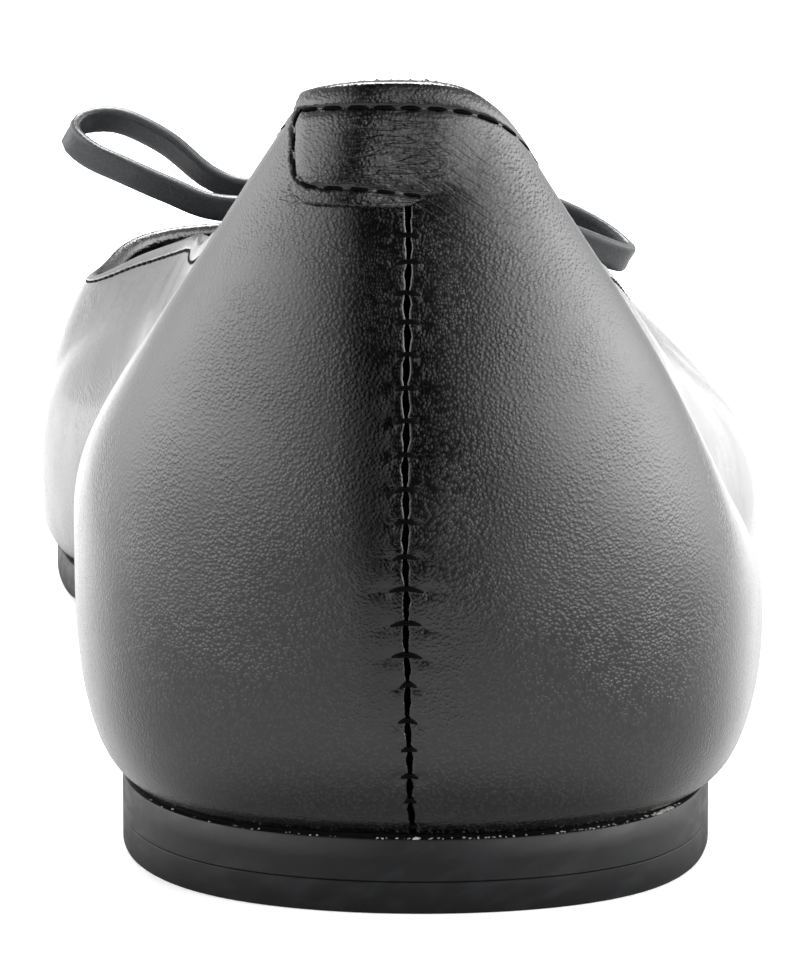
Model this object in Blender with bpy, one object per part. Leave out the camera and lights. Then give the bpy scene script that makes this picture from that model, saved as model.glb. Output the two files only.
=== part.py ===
"""Leather ballet flat for the right foot, in metres, with the toe towards +Y and the floor at Z = 0.

The upper is a shell on a last. The last is described by sections that run round the shoe: each row
of SECTIONS says where the wall leaves the sole, where it is widest and where it ends at the topline.
Sole, insole and bow take their size and place from the same last.
"""

import math

import bmesh
import bpy
import numpy as np

# Last and upper
LENGTH = 0.2432
HEEL_WIDTH = 0.0506
BALL_WIDTH = 0.0752
BACK_HEIGHT = 0.0634
INSTEP_HEIGHT = 0.0352
HEEL_BULGE = 0.0054
BALL_BULGE = 0.0034
WALL = 0.0018
RIM_ROUND = 0.0006

# Heel tab, a step in the wall at the top of the back seam
TAB_STEP = 0.0009
TAB_REACH = 0.0098
TAB_HEIGHT = 0.0092
TAB_EDGE = 0.0005
TAB_FADE = 0.0050

# Sole
OUTSOLE_THICKNESS = 0.0037
LIFT_THICKNESS = 0.0025
LIFT_LENGTH = 0.0520
ARCH_RISE = 0.0042
TOE_SPRING = 0.0062
SOLE_MARGIN = 0.0006
SOLE_EDGE_ROUND = 0.0008
LIFT_EDGE_ROUND = 0.0003
INSOLE_THICKNESS = 0.0026

# Bow of flat lace, tied at the front of the throat
LACE_WIDTH = 0.0034
LACE_THICKNESS = 0.0013
KNOT_WIDTH = 0.0082
KNOT_LENGTH = 0.0062
KNOT_HEIGHT = 0.0045
KNOT_SETBACK = 0.0036
MEDIAL_REACH = 0.0362
LATERAL_REACH = 0.0274
END_REACH = 0.0330
END_SPREAD = 0.0095

# Gap between pieces that meet
GAP = 0.0003

# Where the heel's sizes give way to the forefoot's, in shares of LENGTH
HEEL_END = 0.22
BALL_START = 0.58

# Mesh detail
COLUMNS = 88
COLUMN_CROWDING = 0.35
LACE_POINTS = 34
ROWS_BELOW_WIDEST = 4
ROWS_ABOVE_WIDEST = 7
WIDEST_AT = 0.28

# One row for each section round the upper, from the back seam along the lateral side to the toe and
# back along the medial side.
# along, across: where the wall leaves the sole, in LENGTH and in half the local width
# bulge: how far the wall stands out at its widest, in the local bulge
# widest: height of the widest place, in the height of the topline
# top_along, top_across, top: the topline, in LENGTH, half the local width and the local height
# slope: steepness of the wall at the topline, in degrees
# rise, reach: how far the wall goes straight up, and straight on to the topline, in its own size
SECTION_COLUMNS = (
    "along", "across", "bulge", "widest", "top_along", "top_across", "top", "slope", "rise", "reach",
)
SECTIONS = (
    (0.01, 0.00, 0.80, 0.28, 0.02, -0.02, 1.00, 80, 0.42, 0.25),
    (0.04, 0.77, 1.00, 0.26, 0.03, 0.32, 0.95, 60, 0.50, 0.26),
    (0.10, 1.00, 0.90, 0.30, 0.07, 0.48, 0.81, 66, 0.36, 0.28),
    (0.20, 0.98, 1.30, 0.28, 0.18, 0.56, 0.68, 66, 0.34, 0.30),
    (0.37, 0.80, 1.00, 0.32, 0.35, 0.65, 0.64, 56, 0.34, 0.30),
    (0.52, 0.85, 1.15, 0.26, 0.48, 0.65, 0.68, 46, 0.38, 0.32),
    (0.64, 0.95, 0.80, 0.24, 0.57, 0.60, 0.80, 40, 0.38, 0.38),
    (0.81, 0.80, 0.60, 0.18, 0.64, 0.50, 0.92, 24, 0.34, 0.52),
    (0.94, 0.48, 0.70, 0.16, 0.68, 0.25, 0.96, 16, 0.36, 0.60),
    (1.00, -0.14, 0.70, 0.16, 0.70, -0.10, 0.96, 14, 0.38, 0.62),
    (0.95, -0.66, 0.80, 0.18, 0.68, -0.68, 0.96, 14, 0.42, 0.60),
    (0.85, -0.96, 0.95, 0.22, 0.64, -0.90, 0.89, 12, 0.46, 0.52),
    (0.70, -1.06, 0.80, 0.26, 0.58, -0.92, 0.89, 26, 0.46, 0.38),
    (0.56, -0.96, 1.00, 0.36, 0.49, -0.76, 0.88, 50, 0.40, 0.32),
    (0.38, -0.75, 1.20, 0.42, 0.36, -0.72, 0.70, 56, 0.38, 0.30),
    (0.20, -0.94, 1.20, 0.42, 0.19, -0.70, 0.73, 66, 0.40, 0.30),
    (0.10, -0.98, 0.85, 0.38, 0.08, -0.46, 0.90, 62, 0.40, 0.30),
    (0.04, -0.72, 1.00, 0.28, 0.03, -0.35, 0.98, 58, 0.46, 0.26),
)

# Height of the outsole's underside along the shoe: share of LENGTH, then shares of the lift's
# thickness, the arch's rise and the toe's spring.
UNDERSIDE_COLUMNS = ("along", "lift", "arch", "spring")
UNDERSIDE = (
    (0.000, 1.00, 0.00, 0.00),
    (0.150, 1.00, 0.00, 0.00),
    (0.225, 1.00, 0.10, 0.00),
    (0.370, 0.60, 0.80, 0.00),
    (0.500, 0.10, 0.42, 0.00),
    (0.590, 0.00, 0.00, 0.00),
    (0.740, 0.00, 0.00, 0.00),
    (0.860, 0.00, 0.00, 0.20),
    (1.000, 0.00, 0.00, 1.00),
)

# The lace's route through each loop of the bow, from the middle of the knot, in shares of its reach.
LOOP_COLUMNS = ("across", "along", "up")
MEDIAL_LOOP = (
    (-0.130, -0.045, -0.012),
    (-0.310, -0.060, -0.022),
    (-0.540, -0.070, -0.016),
    (-0.690, -0.075, 0.040),
    (-0.830, -0.075, 0.102),
    (-0.940, -0.060, 0.152),
    (-0.998, -0.018, 0.205),
    (-0.955, 0.025, 0.243),
    (-0.845, 0.040, 0.245),
    (-0.700, 0.040, 0.175),
    (-0.560, 0.035, 0.064),
    (-0.420, 0.030, 0.026),
    (-0.130, 0.018, 0.032),
)
LATERAL_LOOP = (
    (0.170, -0.050, 0.010),
    (0.380, -0.110, -0.022),
    (0.600, -0.145, -0.084),
    (0.820, -0.130, -0.172),
    (0.970, -0.045, -0.238),
    (0.985, 0.070, -0.238),
    (0.860, 0.160, -0.150),
    (0.640, 0.170, -0.050),
    (0.380, 0.110, 0.015),
    (0.170, 0.050, 0.025),
)
# Which way the lace's width points in each loop.
MEDIAL_LOOP_WIDTH = (0.25, -0.68, 0.69)
LATERAL_LOOP_WIDTH = (0.42, -0.16, 0.89)


def periodic_spline(knots, values, wanted):
    """Closed cubic curve with continuous curvature through values at knots, over a period of 1."""
    count = len(knots)
    spans = np.diff(np.append(knots, knots[0] + 1.0))
    slopes = (np.roll(values, -1) - values) / spans
    system = np.zeros((count, count))
    right = np.zeros(count)
    for row in range(count):
        before, here = spans[row - 1], spans[row]
        system[row, row - 1] += before
        system[row, row] += 2.0 * (before + here)
        system[row, (row + 1) % count] += here
        right[row] = 6.0 * (slopes[row] - slopes[row - 1])
    bends = np.linalg.solve(system, right)
    place = (np.asarray(wanted) - knots[0]) % 1.0 + knots[0]
    cell = np.clip(np.searchsorted(knots, place, side="right") - 1, 0, count - 1)
    after = (cell + 1) % count
    span = spans[cell]
    ahead = (knots[cell] + span - place) / span
    behind = 1.0 - ahead
    straight = ahead * values[cell] + behind * values[after]
    bend = (ahead**3 - ahead) * bends[cell] + (behind**3 - behind) * bends[after]
    return straight + bend * span**2 / 6.0


def smooth_step(value):
    """0 below 0, 1 above 1 and an even curve between."""
    share = np.clip(value, 0.0, 1.0)
    return share * share * (3.0 - 2.0 * share)


def local_size(heel_size, fore_size, along):
    """The size that holds at a share of the length: the heel's, the forefoot's or a blend."""
    share = smooth_step((np.asarray(along) - HEEL_END) / (BALL_START - HEEL_END))
    return heel_size + (fore_size - heel_size) * share


def underside_height(along):
    """Height of the outsole's underside above the floor."""
    table = np.array(UNDERSIDE)
    heights = table[:, 1:] @ np.array((LIFT_THICKNESS + GAP, ARCH_RISE, TOE_SPRING))
    stations = table[:, 0]
    tangents = np.gradient(heights, stations)
    flat = np.isclose(np.diff(heights), 0.0)
    tangents[:-1][flat] = 0.0
    tangents[1:][flat] = 0.0
    place = np.clip(along, 0.0, 1.0)
    cell = np.clip(np.searchsorted(stations, place, side="right") - 1, 0, len(stations) - 2)
    span = stations[cell + 1] - stations[cell]
    share = (place - stations[cell]) / span
    start, end = heights[cell], heights[cell + 1]
    rise = end - start
    curve = smooth_step(share)
    lean = share * (1 - share) * ((1 - share) * tangents[cell] - share * tangents[cell + 1])
    return start + rise * curve + lean * span


def seat_height(along):
    """Height of the outsole's top face above the floor."""
    return underside_height(along) + OUTSOLE_THICKNESS


def section_table():
    """The sections in metres, by column, with the feather line's own knots."""
    rows = np.array(SECTIONS)
    shares = {name: rows[:, index] for index, name in enumerate(SECTION_COLUMNS)}
    half_foot = local_size(HEEL_WIDTH, BALL_WIDTH, shares["along"]) / 2
    half_top = local_size(HEEL_WIDTH, BALL_WIDTH, shares["top_along"]) / 2
    table = {
        "foot_x": shares["across"] * half_foot,
        "foot_y": shares["along"] * LENGTH,
        "bulge": shares["bulge"] * local_size(HEEL_BULGE, BALL_BULGE, shares["along"]),
        "top_x": shares["top_across"] * half_top,
        "top_y": shares["top_along"] * LENGTH,
        "top_rise": shares["top"] * local_size(BACK_HEIGHT, INSTEP_HEIGHT, shares["top_along"]),
        "slope": np.radians(shares["slope"]),
        "widest": shares["widest"],
        "rise": shares["rise"],
        "reach": shares["reach"],
    }
    steps = np.hypot(
        np.roll(table["foot_x"], -1) - table["foot_x"], np.roll(table["foot_y"], -1) - table["foot_y"]
    )
    knots = np.append(0.0, np.cumsum(steps)[:-1]) / steps.sum()
    return knots, table


class Last:
    """The form that the upper is pulled over."""

    def __init__(self):
        self.knots, self.table = section_table()

    def column(self, name, around):
        """One column of the section table, round the shoe."""
        return periodic_spline(self.knots, self.table[name], around)

    def foot(self, around):
        """Points of the feather line, where upper and sole meet, and the way out from them."""
        step = 1e-4
        x, y = self.column("foot_x", around), self.column("foot_y", around)
        run_x = self.column("foot_x", around + step) - self.column("foot_x", around - step)
        run_y = self.column("foot_y", around + step) - self.column("foot_y", around - step)
        size = np.hypot(run_x, run_y)
        outward = np.stack([run_y / size, -run_x / size], axis=-1)
        height = seat_height(y / LENGTH) + GAP
        return np.stack([x, y, height], axis=-1), outward

    def surface(self, around, up):
        """Points of the upper's outer face: around from 0 at the back seam, up from 0 to 1."""
        around, up = np.broadcast_arrays(np.asarray(around, float), np.asarray(up, float))
        foot, outward = self.foot(around)
        out = np.concatenate([outward, np.zeros_like(outward[..., :1])], axis=-1)
        rise = np.zeros_like(foot)
        rise[..., 2] = 1.0
        top = np.stack([self.column("top_x", around), self.column("top_y", around),
                        seat_height(self.column("top_y", around) / LENGTH)
                        + self.column("top_rise", around)], axis=-1)
        lift = (self.column("widest", around) * (top[..., 2] - foot[..., 2]))[..., None]
        bulge = self.column("bulge", around)[..., None]
        widest = foot + bulge * out + lift * rise
        lower = bezier(
            foot, foot + 0.85 * bulge * out + 0.12 * lift * rise, widest - 0.62 * lift * rise, widest,
            up / WIDEST_AT,
        )
        away = widest - top
        away[..., 2] = 0.0
        away /= np.linalg.norm(away, axis=-1)[..., None]
        slope = self.column("slope", around)[..., None]
        distance = np.linalg.norm(widest - top, axis=-1)[..., None]
        arrival = away * np.cos(slope) - rise * np.sin(slope)
        climb = self.column("rise", around)[..., None] * (top - widest)[..., 2:]
        reach = self.column("reach", around)[..., None]
        upper = bezier(
            widest, widest + climb * rise, top + reach * distance * arrival, top,
            (up - WIDEST_AT) / (1.0 - WIDEST_AT),
        )
        return np.where((up < WIDEST_AT)[..., None], lower, upper)

    def normal(self, around, up):
        """Unit normals of the outer face, pointing out of the shoe."""
        step = 1e-3
        low, high = np.clip(up - step, 0.0, 1.0), np.clip(up + step, 0.0, 1.0)
        run = self.surface(around + step, up) - self.surface(around - step, up)
        climb = self.surface(around, high) - self.surface(around, low)
        cross = np.cross(run, climb)
        return cross / np.linalg.norm(cross, axis=-1)[..., None]


def bezier(start, leave, arrive, end, share):
    """Cubic curve, at shares that are clipped to its ends."""
    t = np.clip(share, 0.0, 1.0)[..., None]
    s = 1.0 - t
    return s**3 * start + 3 * s * s * t * leave + 3 * s * t * t * arrive + t**3 * end


def distance_along(points):
    """Distance from the first point to each point of a line."""
    steps = np.linalg.norm(np.diff(points, axis=0), axis=1)
    return np.append(0.0, np.cumsum(steps))


def share_at(points, shares, distance):
    """The share at which a line of points has run a distance."""
    return float(np.interp(distance, distance_along(points), shares))


class HeelTab:
    """The raised tab that crosses the back seam at the topline."""

    def __init__(self, last):
        self.last = last
        ups = np.linspace(1.0, 0.5, 200)
        seam = last.surface(np.zeros(200), ups)
        self.lower = [share_at(seam, ups, TAB_HEIGHT + edge) for edge in (0.0, TAB_EDGE)]
        self.top_edges = self.edges(1.0)

    def edges(self, up):
        """How far round from the seam the tab's medial edge lies at a height, top and foot of it."""
        rounds = np.linspace(0.0, 0.12, 200)
        across = -self.last.surface(-rounds, np.full(200, max(up, self.lower[1])))[:, 0]
        return [float(np.interp(TAB_REACH + edge, across, rounds)) for edge in (0.0, TAB_EDGE)]

    def columns(self, columns, up):
        """The columns moved so that two of them keep to the tab's medial edge at this height."""
        side = (columns + 0.5) % 1.0 - 0.5
        from_here = [0.0, *self.top_edges, 0.12]
        to_here = [0.0, *self.edges(up), 0.12]
        moved = np.interp(-side, from_here, to_here)
        return np.where((side < 0.0) & (side > -0.12), -moved, side)

    def step(self, columns, up):
        """How far the tab raises the outer face."""
        across = self.last.surface(columns, up)[..., 0]
        below = (up - self.lower[1]) / (self.lower[0] - self.lower[1])
        medial = (across + TAB_REACH + TAB_EDGE) / TAB_EDGE
        lateral = 1.0 - smooth_step(across / TAB_FADE)
        share = np.minimum(np.clip(medial, 0.0, 1.0), lateral)
        near_seam = np.abs((columns + 0.5) % 1.0 - 0.5) < 0.12
        return TAB_STEP * np.clip(below, 0.0, 1.0) * share * near_seam


def spread_columns(count):
    """Shares round the shoe, closer together at heel and toe."""
    even = np.arange(count) / count
    return even - COLUMN_CROWDING * np.sin(4 * math.pi * even) / (4 * math.pi)


def make_object(name, mesh_data, material, parent):
    """Object of that name from bmesh data, shaded smooth with its sharp edges kept."""
    mesh = bpy.data.meshes.new(name)
    mesh_data.to_mesh(mesh)
    mesh_data.free()
    mesh.shade_smooth()
    mesh.set_sharp_from_angle(angle=math.radians(35))
    mesh.materials.append(material)
    item = bpy.data.objects.new(name, mesh)
    bpy.context.collection.objects.link(item)
    item.parent = parent
    return item


def join_rings(rings, closed):
    """Closed surface through rings of points, with the last ring joined to the first if closed."""
    data = bmesh.new()
    loops = [[data.verts.new(point) for point in ring] for ring in rings]
    pairs = list(zip(loops, loops[1:]))
    if closed:
        pairs.append((loops[-1], loops[0]))
    for low, high in pairs:
        for index in range(len(low)):
            after = (index + 1) % len(low)
            data.faces.new((low[index], low[after], high[after], high[index]))
    return data, loops


def close_with_ladder(data, loop, upwards):
    """Fills a ring that runs round the shoe with rungs from its lateral to its medial side."""
    count = len(loop)
    for index in range(count // 2):
        far = count - 1 - index
        corners = [loop[index], loop[index + 1], loop[far], loop[(far + 1) % count]]
        corners = list(dict.fromkeys(corners))
        if len(corners) < 3:
            continue
        data.faces.new(corners if upwards else corners[::-1])


def make_upper(last, material, parent):
    """The hollow upper: outer face, rolled topline, inner face and a flat rim on the sole."""
    tab = HeelTab(last)
    edge_columns = [1.0 - edge for edge in tab.top_edges]
    columns = np.unique(np.append(spread_columns(COLUMNS), edge_columns))
    below = np.linspace(0.0, WIDEST_AT, ROWS_BELOW_WIDEST, endpoint=False)
    above = np.linspace(WIDEST_AT, 1.0, ROWS_ABOVE_WIDEST)
    rows = np.unique(np.concatenate([below, above, tab.lower]))
    outside, inside = [], []
    for up in rows:
        around = tab.columns(columns, up)
        face, normals = last.surface(around, up), last.normal(around, up)
        outside.append(face + normals * tab.step(around, up)[:, None])
        inside.append(face - normals * WALL)
    foot, outward = last.foot(tab.columns(columns, 0.0))
    foot[:, :2] -= outward * WALL
    inside[0] = foot
    climb = outside[-1] - last.surface(tab.columns(columns, 1.0), 0.99)
    climb /= np.linalg.norm(climb, axis=1)[:, None]
    rim = (outside[-1] + inside[-1]) / 2 + climb * RIM_ROUND
    data, _ = join_rings([*outside, rim, *inside[::-1]], closed=True)
    return make_object("upper", data, material, parent)


def sole_ring(last, columns, margin, height):
    """A ring round the shoe, margin outside the feather line, at a height over the sole's line."""
    foot, outward = last.foot(columns)
    ring = foot.copy()
    ring[:, :2] += outward * margin
    ring[:, 2] = underside_height(ring[:, 1] / LENGTH) + height
    return ring


def make_outsole(last, material, parent):
    """The outsole, with its arch, toe spring and rounded lower edge."""
    columns = spread_columns(COLUMNS)
    profile = (
        (SOLE_MARGIN - 2 * SOLE_EDGE_ROUND, 0.0),
        (SOLE_MARGIN - 0.3 * SOLE_EDGE_ROUND, 0.0),
        (SOLE_MARGIN, 0.3 * SOLE_EDGE_ROUND),
        (SOLE_MARGIN, OUTSOLE_THICKNESS),
    )
    rings = [sole_ring(last, columns, margin, height) for margin, height in profile]
    data, loops = join_rings(rings, closed=False)
    close_with_ladder(data, loops[0], upwards=False)
    close_with_ladder(data, loops[-1], upwards=True)
    return make_object("outsole", data, material, parent)


def make_heel_lift(last, material, parent):
    """The layer under the heel, cut off by a straight breast."""
    samples = np.linspace(-0.3, 0.3, 1201)
    line, _ = last.foot(samples)
    behind = samples[line[:, 1] < LIFT_LENGTH]
    columns = np.linspace(behind[0], behind[-1], 41)
    profile = (
        (SOLE_MARGIN - LIFT_EDGE_ROUND, 0.0),
        (SOLE_MARGIN - 0.3 * LIFT_EDGE_ROUND, 0.3 * LIFT_EDGE_ROUND),
        (SOLE_MARGIN, LIFT_EDGE_ROUND),
        (SOLE_MARGIN, LIFT_THICKNESS),
    )
    rings = []
    for margin, height in profile:
        ring = sole_ring(last, columns, margin, 0.0)
        ring[:, 2] = height
        rings.append(ring)
    data, loops = join_rings(rings, closed=False)
    data.faces.new(loops[0][::-1])
    data.faces.new(loops[-1])
    return make_object("heel_lift", data, material, parent)


def make_insole(last, material, parent):
    """The footbed inside the upper, on the outsole."""
    columns = spread_columns(COLUMNS)
    inset = -WALL - GAP
    profile = (
        (inset - 0.5 * WALL, OUTSOLE_THICKNESS + GAP),
        (inset, OUTSOLE_THICKNESS + GAP + 0.3 * INSOLE_THICKNESS),
        (inset, OUTSOLE_THICKNESS + GAP + 0.8 * INSOLE_THICKNESS),
        (inset - 0.5 * WALL, OUTSOLE_THICKNESS + GAP + INSOLE_THICKNESS),
    )
    rings = [sole_ring(last, columns, margin, height) for margin, height in profile]
    data, loops = join_rings(rings, closed=False)
    close_with_ladder(data, loops[0], upwards=False)
    close_with_ladder(data, loops[-1], upwards=True)
    return make_object("insole", data, material, parent)


def open_spline(points, count):
    """Smooth line through points, sampled at even steps of its length."""
    points = np.asarray(points, float)
    before = 2 * points[0] - points[1]
    after = 2 * points[-1] - points[-2]
    ring = np.vstack([before, points, after])
    share = np.linspace(0.0, 1.0, 24, endpoint=False)[:, None]
    pieces = []
    for index in range(1, len(ring) - 2):
        a, b, c, d = ring[index - 1:index + 3]
        pieces.append(0.5 * (2 * b + (c - a) * share + (2 * a - 5 * b + 4 * c - d) * share**2
                             + (3 * b - a - 3 * c + d) * share**3))
    line = np.vstack([*pieces, points[-1:]])
    run = distance_along(line)
    even = np.linspace(0.0, run[-1], count)
    return np.stack([np.interp(even, run, line[:, axis]) for axis in range(3)], axis=1)


def make_lace(name, route, widths, material, parent):
    """Flat lace with rounded edges along a route; widths says which way its width points."""
    tangents = np.gradient(route, axis=0)
    tangents /= np.linalg.norm(tangents, axis=1)[:, None]
    widths = widths - np.sum(widths * tangents, axis=1)[:, None] * tangents
    widths /= np.linalg.norm(widths, axis=1)[:, None]
    flats = np.cross(tangents, widths)
    half, thick = LACE_WIDTH / 2, LACE_THICKNESS / 2
    outline = ((1, 0), (0.80, 1), (-0.80, 1), (-1, 0), (-0.80, -1), (0.80, -1))
    rings = []
    for point, width, flat in zip(route, widths, flats):
        rings.append([point + width * half * w + flat * thick * f for w, f in outline])
    data, loops = join_rings(rings, closed=False)
    data.faces.new(loops[0][::-1])
    data.faces.new(loops[-1])
    return make_object(name, data, material, parent)


def throat_centre(last):
    """Share round the shoe of the middle of the throat's front, at the knot of the bow."""
    shares = np.linspace(0.4, 0.6, 401)
    front = last.surface(shares, np.ones(401))
    return float(shares[np.argmax(front[:, 1])])


def make_bow(last, material, parent):
    """Knot, two loops and two ends of the bow."""
    middle = throat_centre(last)
    ups = np.linspace(1.0, 0.4, 400)
    ridge = last.surface(np.full(400, middle), ups)
    at = share_at(ridge, ups, KNOT_SETBACK)
    lift = last.normal(middle, at) * (KNOT_HEIGHT / 2 + 2 * GAP)
    knot = last.surface(middle, at) + lift
    make_knot(knot, material, parent)
    for name, table, reach, width in (
        ("bow_loop_medial", MEDIAL_LOOP, MEDIAL_REACH, MEDIAL_LOOP_WIDTH),
        ("bow_loop_lateral", LATERAL_LOOP, LATERAL_REACH, LATERAL_LOOP_WIDTH),
    ):
        route = open_spline(knot + np.array(table) * reach, LACE_POINTS)
        widths = np.tile(np.array(width), (len(route), 1))
        make_lace(name, route, widths, material, parent)
    for name, side in (("bow_end_medial", 1.0), ("bow_end_lateral", -1.0)):
        start = KNOT_SETBACK + KNOT_LENGTH / 2 + 2 * GAP
        runs = np.linspace(start, start + END_REACH, 12)
        shares = np.linspace(0.0, 1.0, 12)
        ups_here = [share_at(ridge, ups, run) for run in runs]
        spread = KNOT_WIDTH / 4 + (END_SPREAD - KNOT_WIDTH / 4) * shares**1.3
        turns = [middle + side * turn_for(last, middle, up, out) for up, out in zip(ups_here, spread)]
        offset = LACE_THICKNESS / 2 + GAP * 2
        normals = last.normal(np.array(turns), np.array(ups_here))
        route = last.surface(np.array(turns), np.array(ups_here)) + normals * offset
        ways = np.cross(normals, np.gradient(route, axis=0))
        make_lace(name, route, ways, material, parent)


def turn_for(last, middle, up, out):
    """How far round to go from the middle, at a height, to move out by a distance."""
    turns = np.linspace(0.0, 0.12, 60)
    line = last.surface(middle + turns, np.full(60, up))
    return share_at(line, turns, out)


def make_knot(centre, material, parent):
    """The knot: a rounded block, flatter on top and underneath."""
    rings = []
    turns = np.arange(16) / 16 * 2 * math.pi
    for tilt in np.linspace(-math.pi / 2, math.pi / 2, 11)[1:-1]:
        level = np.sign(np.sin(tilt)) * np.abs(np.sin(tilt)) ** 0.8
        size = np.cos(tilt) ** 0.6
        ring = np.stack([
            KNOT_WIDTH / 2 * size * np.sign(np.cos(turns)) * np.abs(np.cos(turns)) ** 0.7,
            KNOT_LENGTH / 2 * size * np.sign(np.sin(turns)) * np.abs(np.sin(turns)) ** 0.7,
            np.full(16, KNOT_HEIGHT / 2 * level),
        ], axis=1)
        rings.append(centre + ring)
    data, loops = join_rings(rings, closed=False)
    data.faces.new(loops[0][::-1])
    data.faces.new(loops[-1])
    return make_object("bow_knot", data, material, parent)


def new_material(name, colour, roughness):
    """Material with a plain finish."""
    material = bpy.data.materials.new(name)
    material.use_nodes = True
    shader = material.node_tree.nodes["Principled BSDF"]
    shader.inputs["Base Color"].default_value = (*colour, 1.0)
    shader.inputs["Roughness"].default_value = roughness
    shader.inputs["Metallic"].default_value = 0.0
    return material


def main():
    """Builds the shoe and centres it over the origin."""
    for item in list(bpy.data.objects):
        bpy.data.objects.remove(item)
    shoe = bpy.data.objects.new("shoe", None)
    bpy.context.collection.objects.link(shoe)
    leather = new_material("leather", (0.018, 0.018, 0.019), 0.42)
    rubber = new_material("rubber", (0.022, 0.022, 0.024), 0.55)
    footbed = new_material("footbed", (0.030, 0.028, 0.027), 0.70)
    lace = new_material("lace_leather", (0.035, 0.036, 0.038), 0.50)
    last = Last()
    body = [
        make_upper(last, leather, shoe),
        make_outsole(last, rubber, shoe),
        make_heel_lift(last, rubber, shoe),
        make_insole(last, footbed, shoe),
    ]
    make_bow(last, lace, shoe)
    points = np.array([vertex.co for item in body for vertex in item.data.vertices])
    middle = (points.min(axis=0) + points.max(axis=0)) / 2
    shoe.location = (-middle[0], -middle[1], -points.min(axis=0)[2])


main()
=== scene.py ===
"""The look of a black leather ballet flat for the right foot, in metres, toe to +Y and up +Z.

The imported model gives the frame. Leather, lining, stitching, sole, footbed and bow are modelled
finely here over the same last that the solids were made on, and the scene is lit softly.
"""
import logging
import math
from dataclasses import dataclass
from enum import Enum
from typing import Callable, Sequence

import bpy
import numpy as np
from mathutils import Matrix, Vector


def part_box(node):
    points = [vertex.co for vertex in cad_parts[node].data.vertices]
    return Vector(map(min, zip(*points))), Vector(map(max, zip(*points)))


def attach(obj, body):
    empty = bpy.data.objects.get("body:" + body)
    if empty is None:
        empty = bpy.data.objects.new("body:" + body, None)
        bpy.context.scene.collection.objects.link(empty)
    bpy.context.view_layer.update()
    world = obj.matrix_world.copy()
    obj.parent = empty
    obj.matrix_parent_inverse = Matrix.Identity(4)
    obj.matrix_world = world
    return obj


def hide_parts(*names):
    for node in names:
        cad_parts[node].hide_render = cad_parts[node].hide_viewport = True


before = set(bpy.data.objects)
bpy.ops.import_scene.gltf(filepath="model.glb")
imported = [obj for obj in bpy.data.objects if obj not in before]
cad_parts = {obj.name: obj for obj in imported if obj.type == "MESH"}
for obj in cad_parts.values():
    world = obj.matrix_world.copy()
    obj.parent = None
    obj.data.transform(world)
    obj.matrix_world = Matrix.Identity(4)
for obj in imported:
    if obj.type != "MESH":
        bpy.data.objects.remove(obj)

logging.basicConfig(level=logging.INFO, format="%(message)s")
log = logging.getLogger("ballet_flat")

Array = np.ndarray
Place = Callable[[Array, Array], Array]
Piece = bpy.types.Object
Socket = bpy.types.NodeSocket
Triple = tuple[float, float, float]
MM = 0.001

# Blender's own start-up objects would count in the box, so they go first.
for spare in ("Camera", "Cube", "Light"):
    if spare in bpy.data.objects:
        bpy.data.objects.remove(bpy.data.objects[spare])
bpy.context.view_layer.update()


@dataclass(frozen=True)
class ShoeSizes:
    """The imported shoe's named sizes in metres.

    heel_end and ball_start are shares of the length, and widest_at is one of the way up the wall.
    """

    length: float = 0.2432
    heel_width: float = 0.0506
    ball_width: float = 0.0752
    back_height: float = 0.0634
    instep_height: float = 0.0352
    heel_bulge: float = 0.0054
    ball_bulge: float = 0.0034
    wall: float = 0.0018
    outsole: float = 0.0037
    lift: float = 0.0025
    lift_length: float = 0.0520
    arch_rise: float = 0.0042
    toe_spring: float = 0.0062
    sole_margin: float = 0.0006
    insole: float = 0.0026
    gap: float = 0.0003
    heel_end: float = 0.22
    ball_start: float = 0.58
    widest_at: float = 0.28


SIZES = ShoeSizes()

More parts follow.
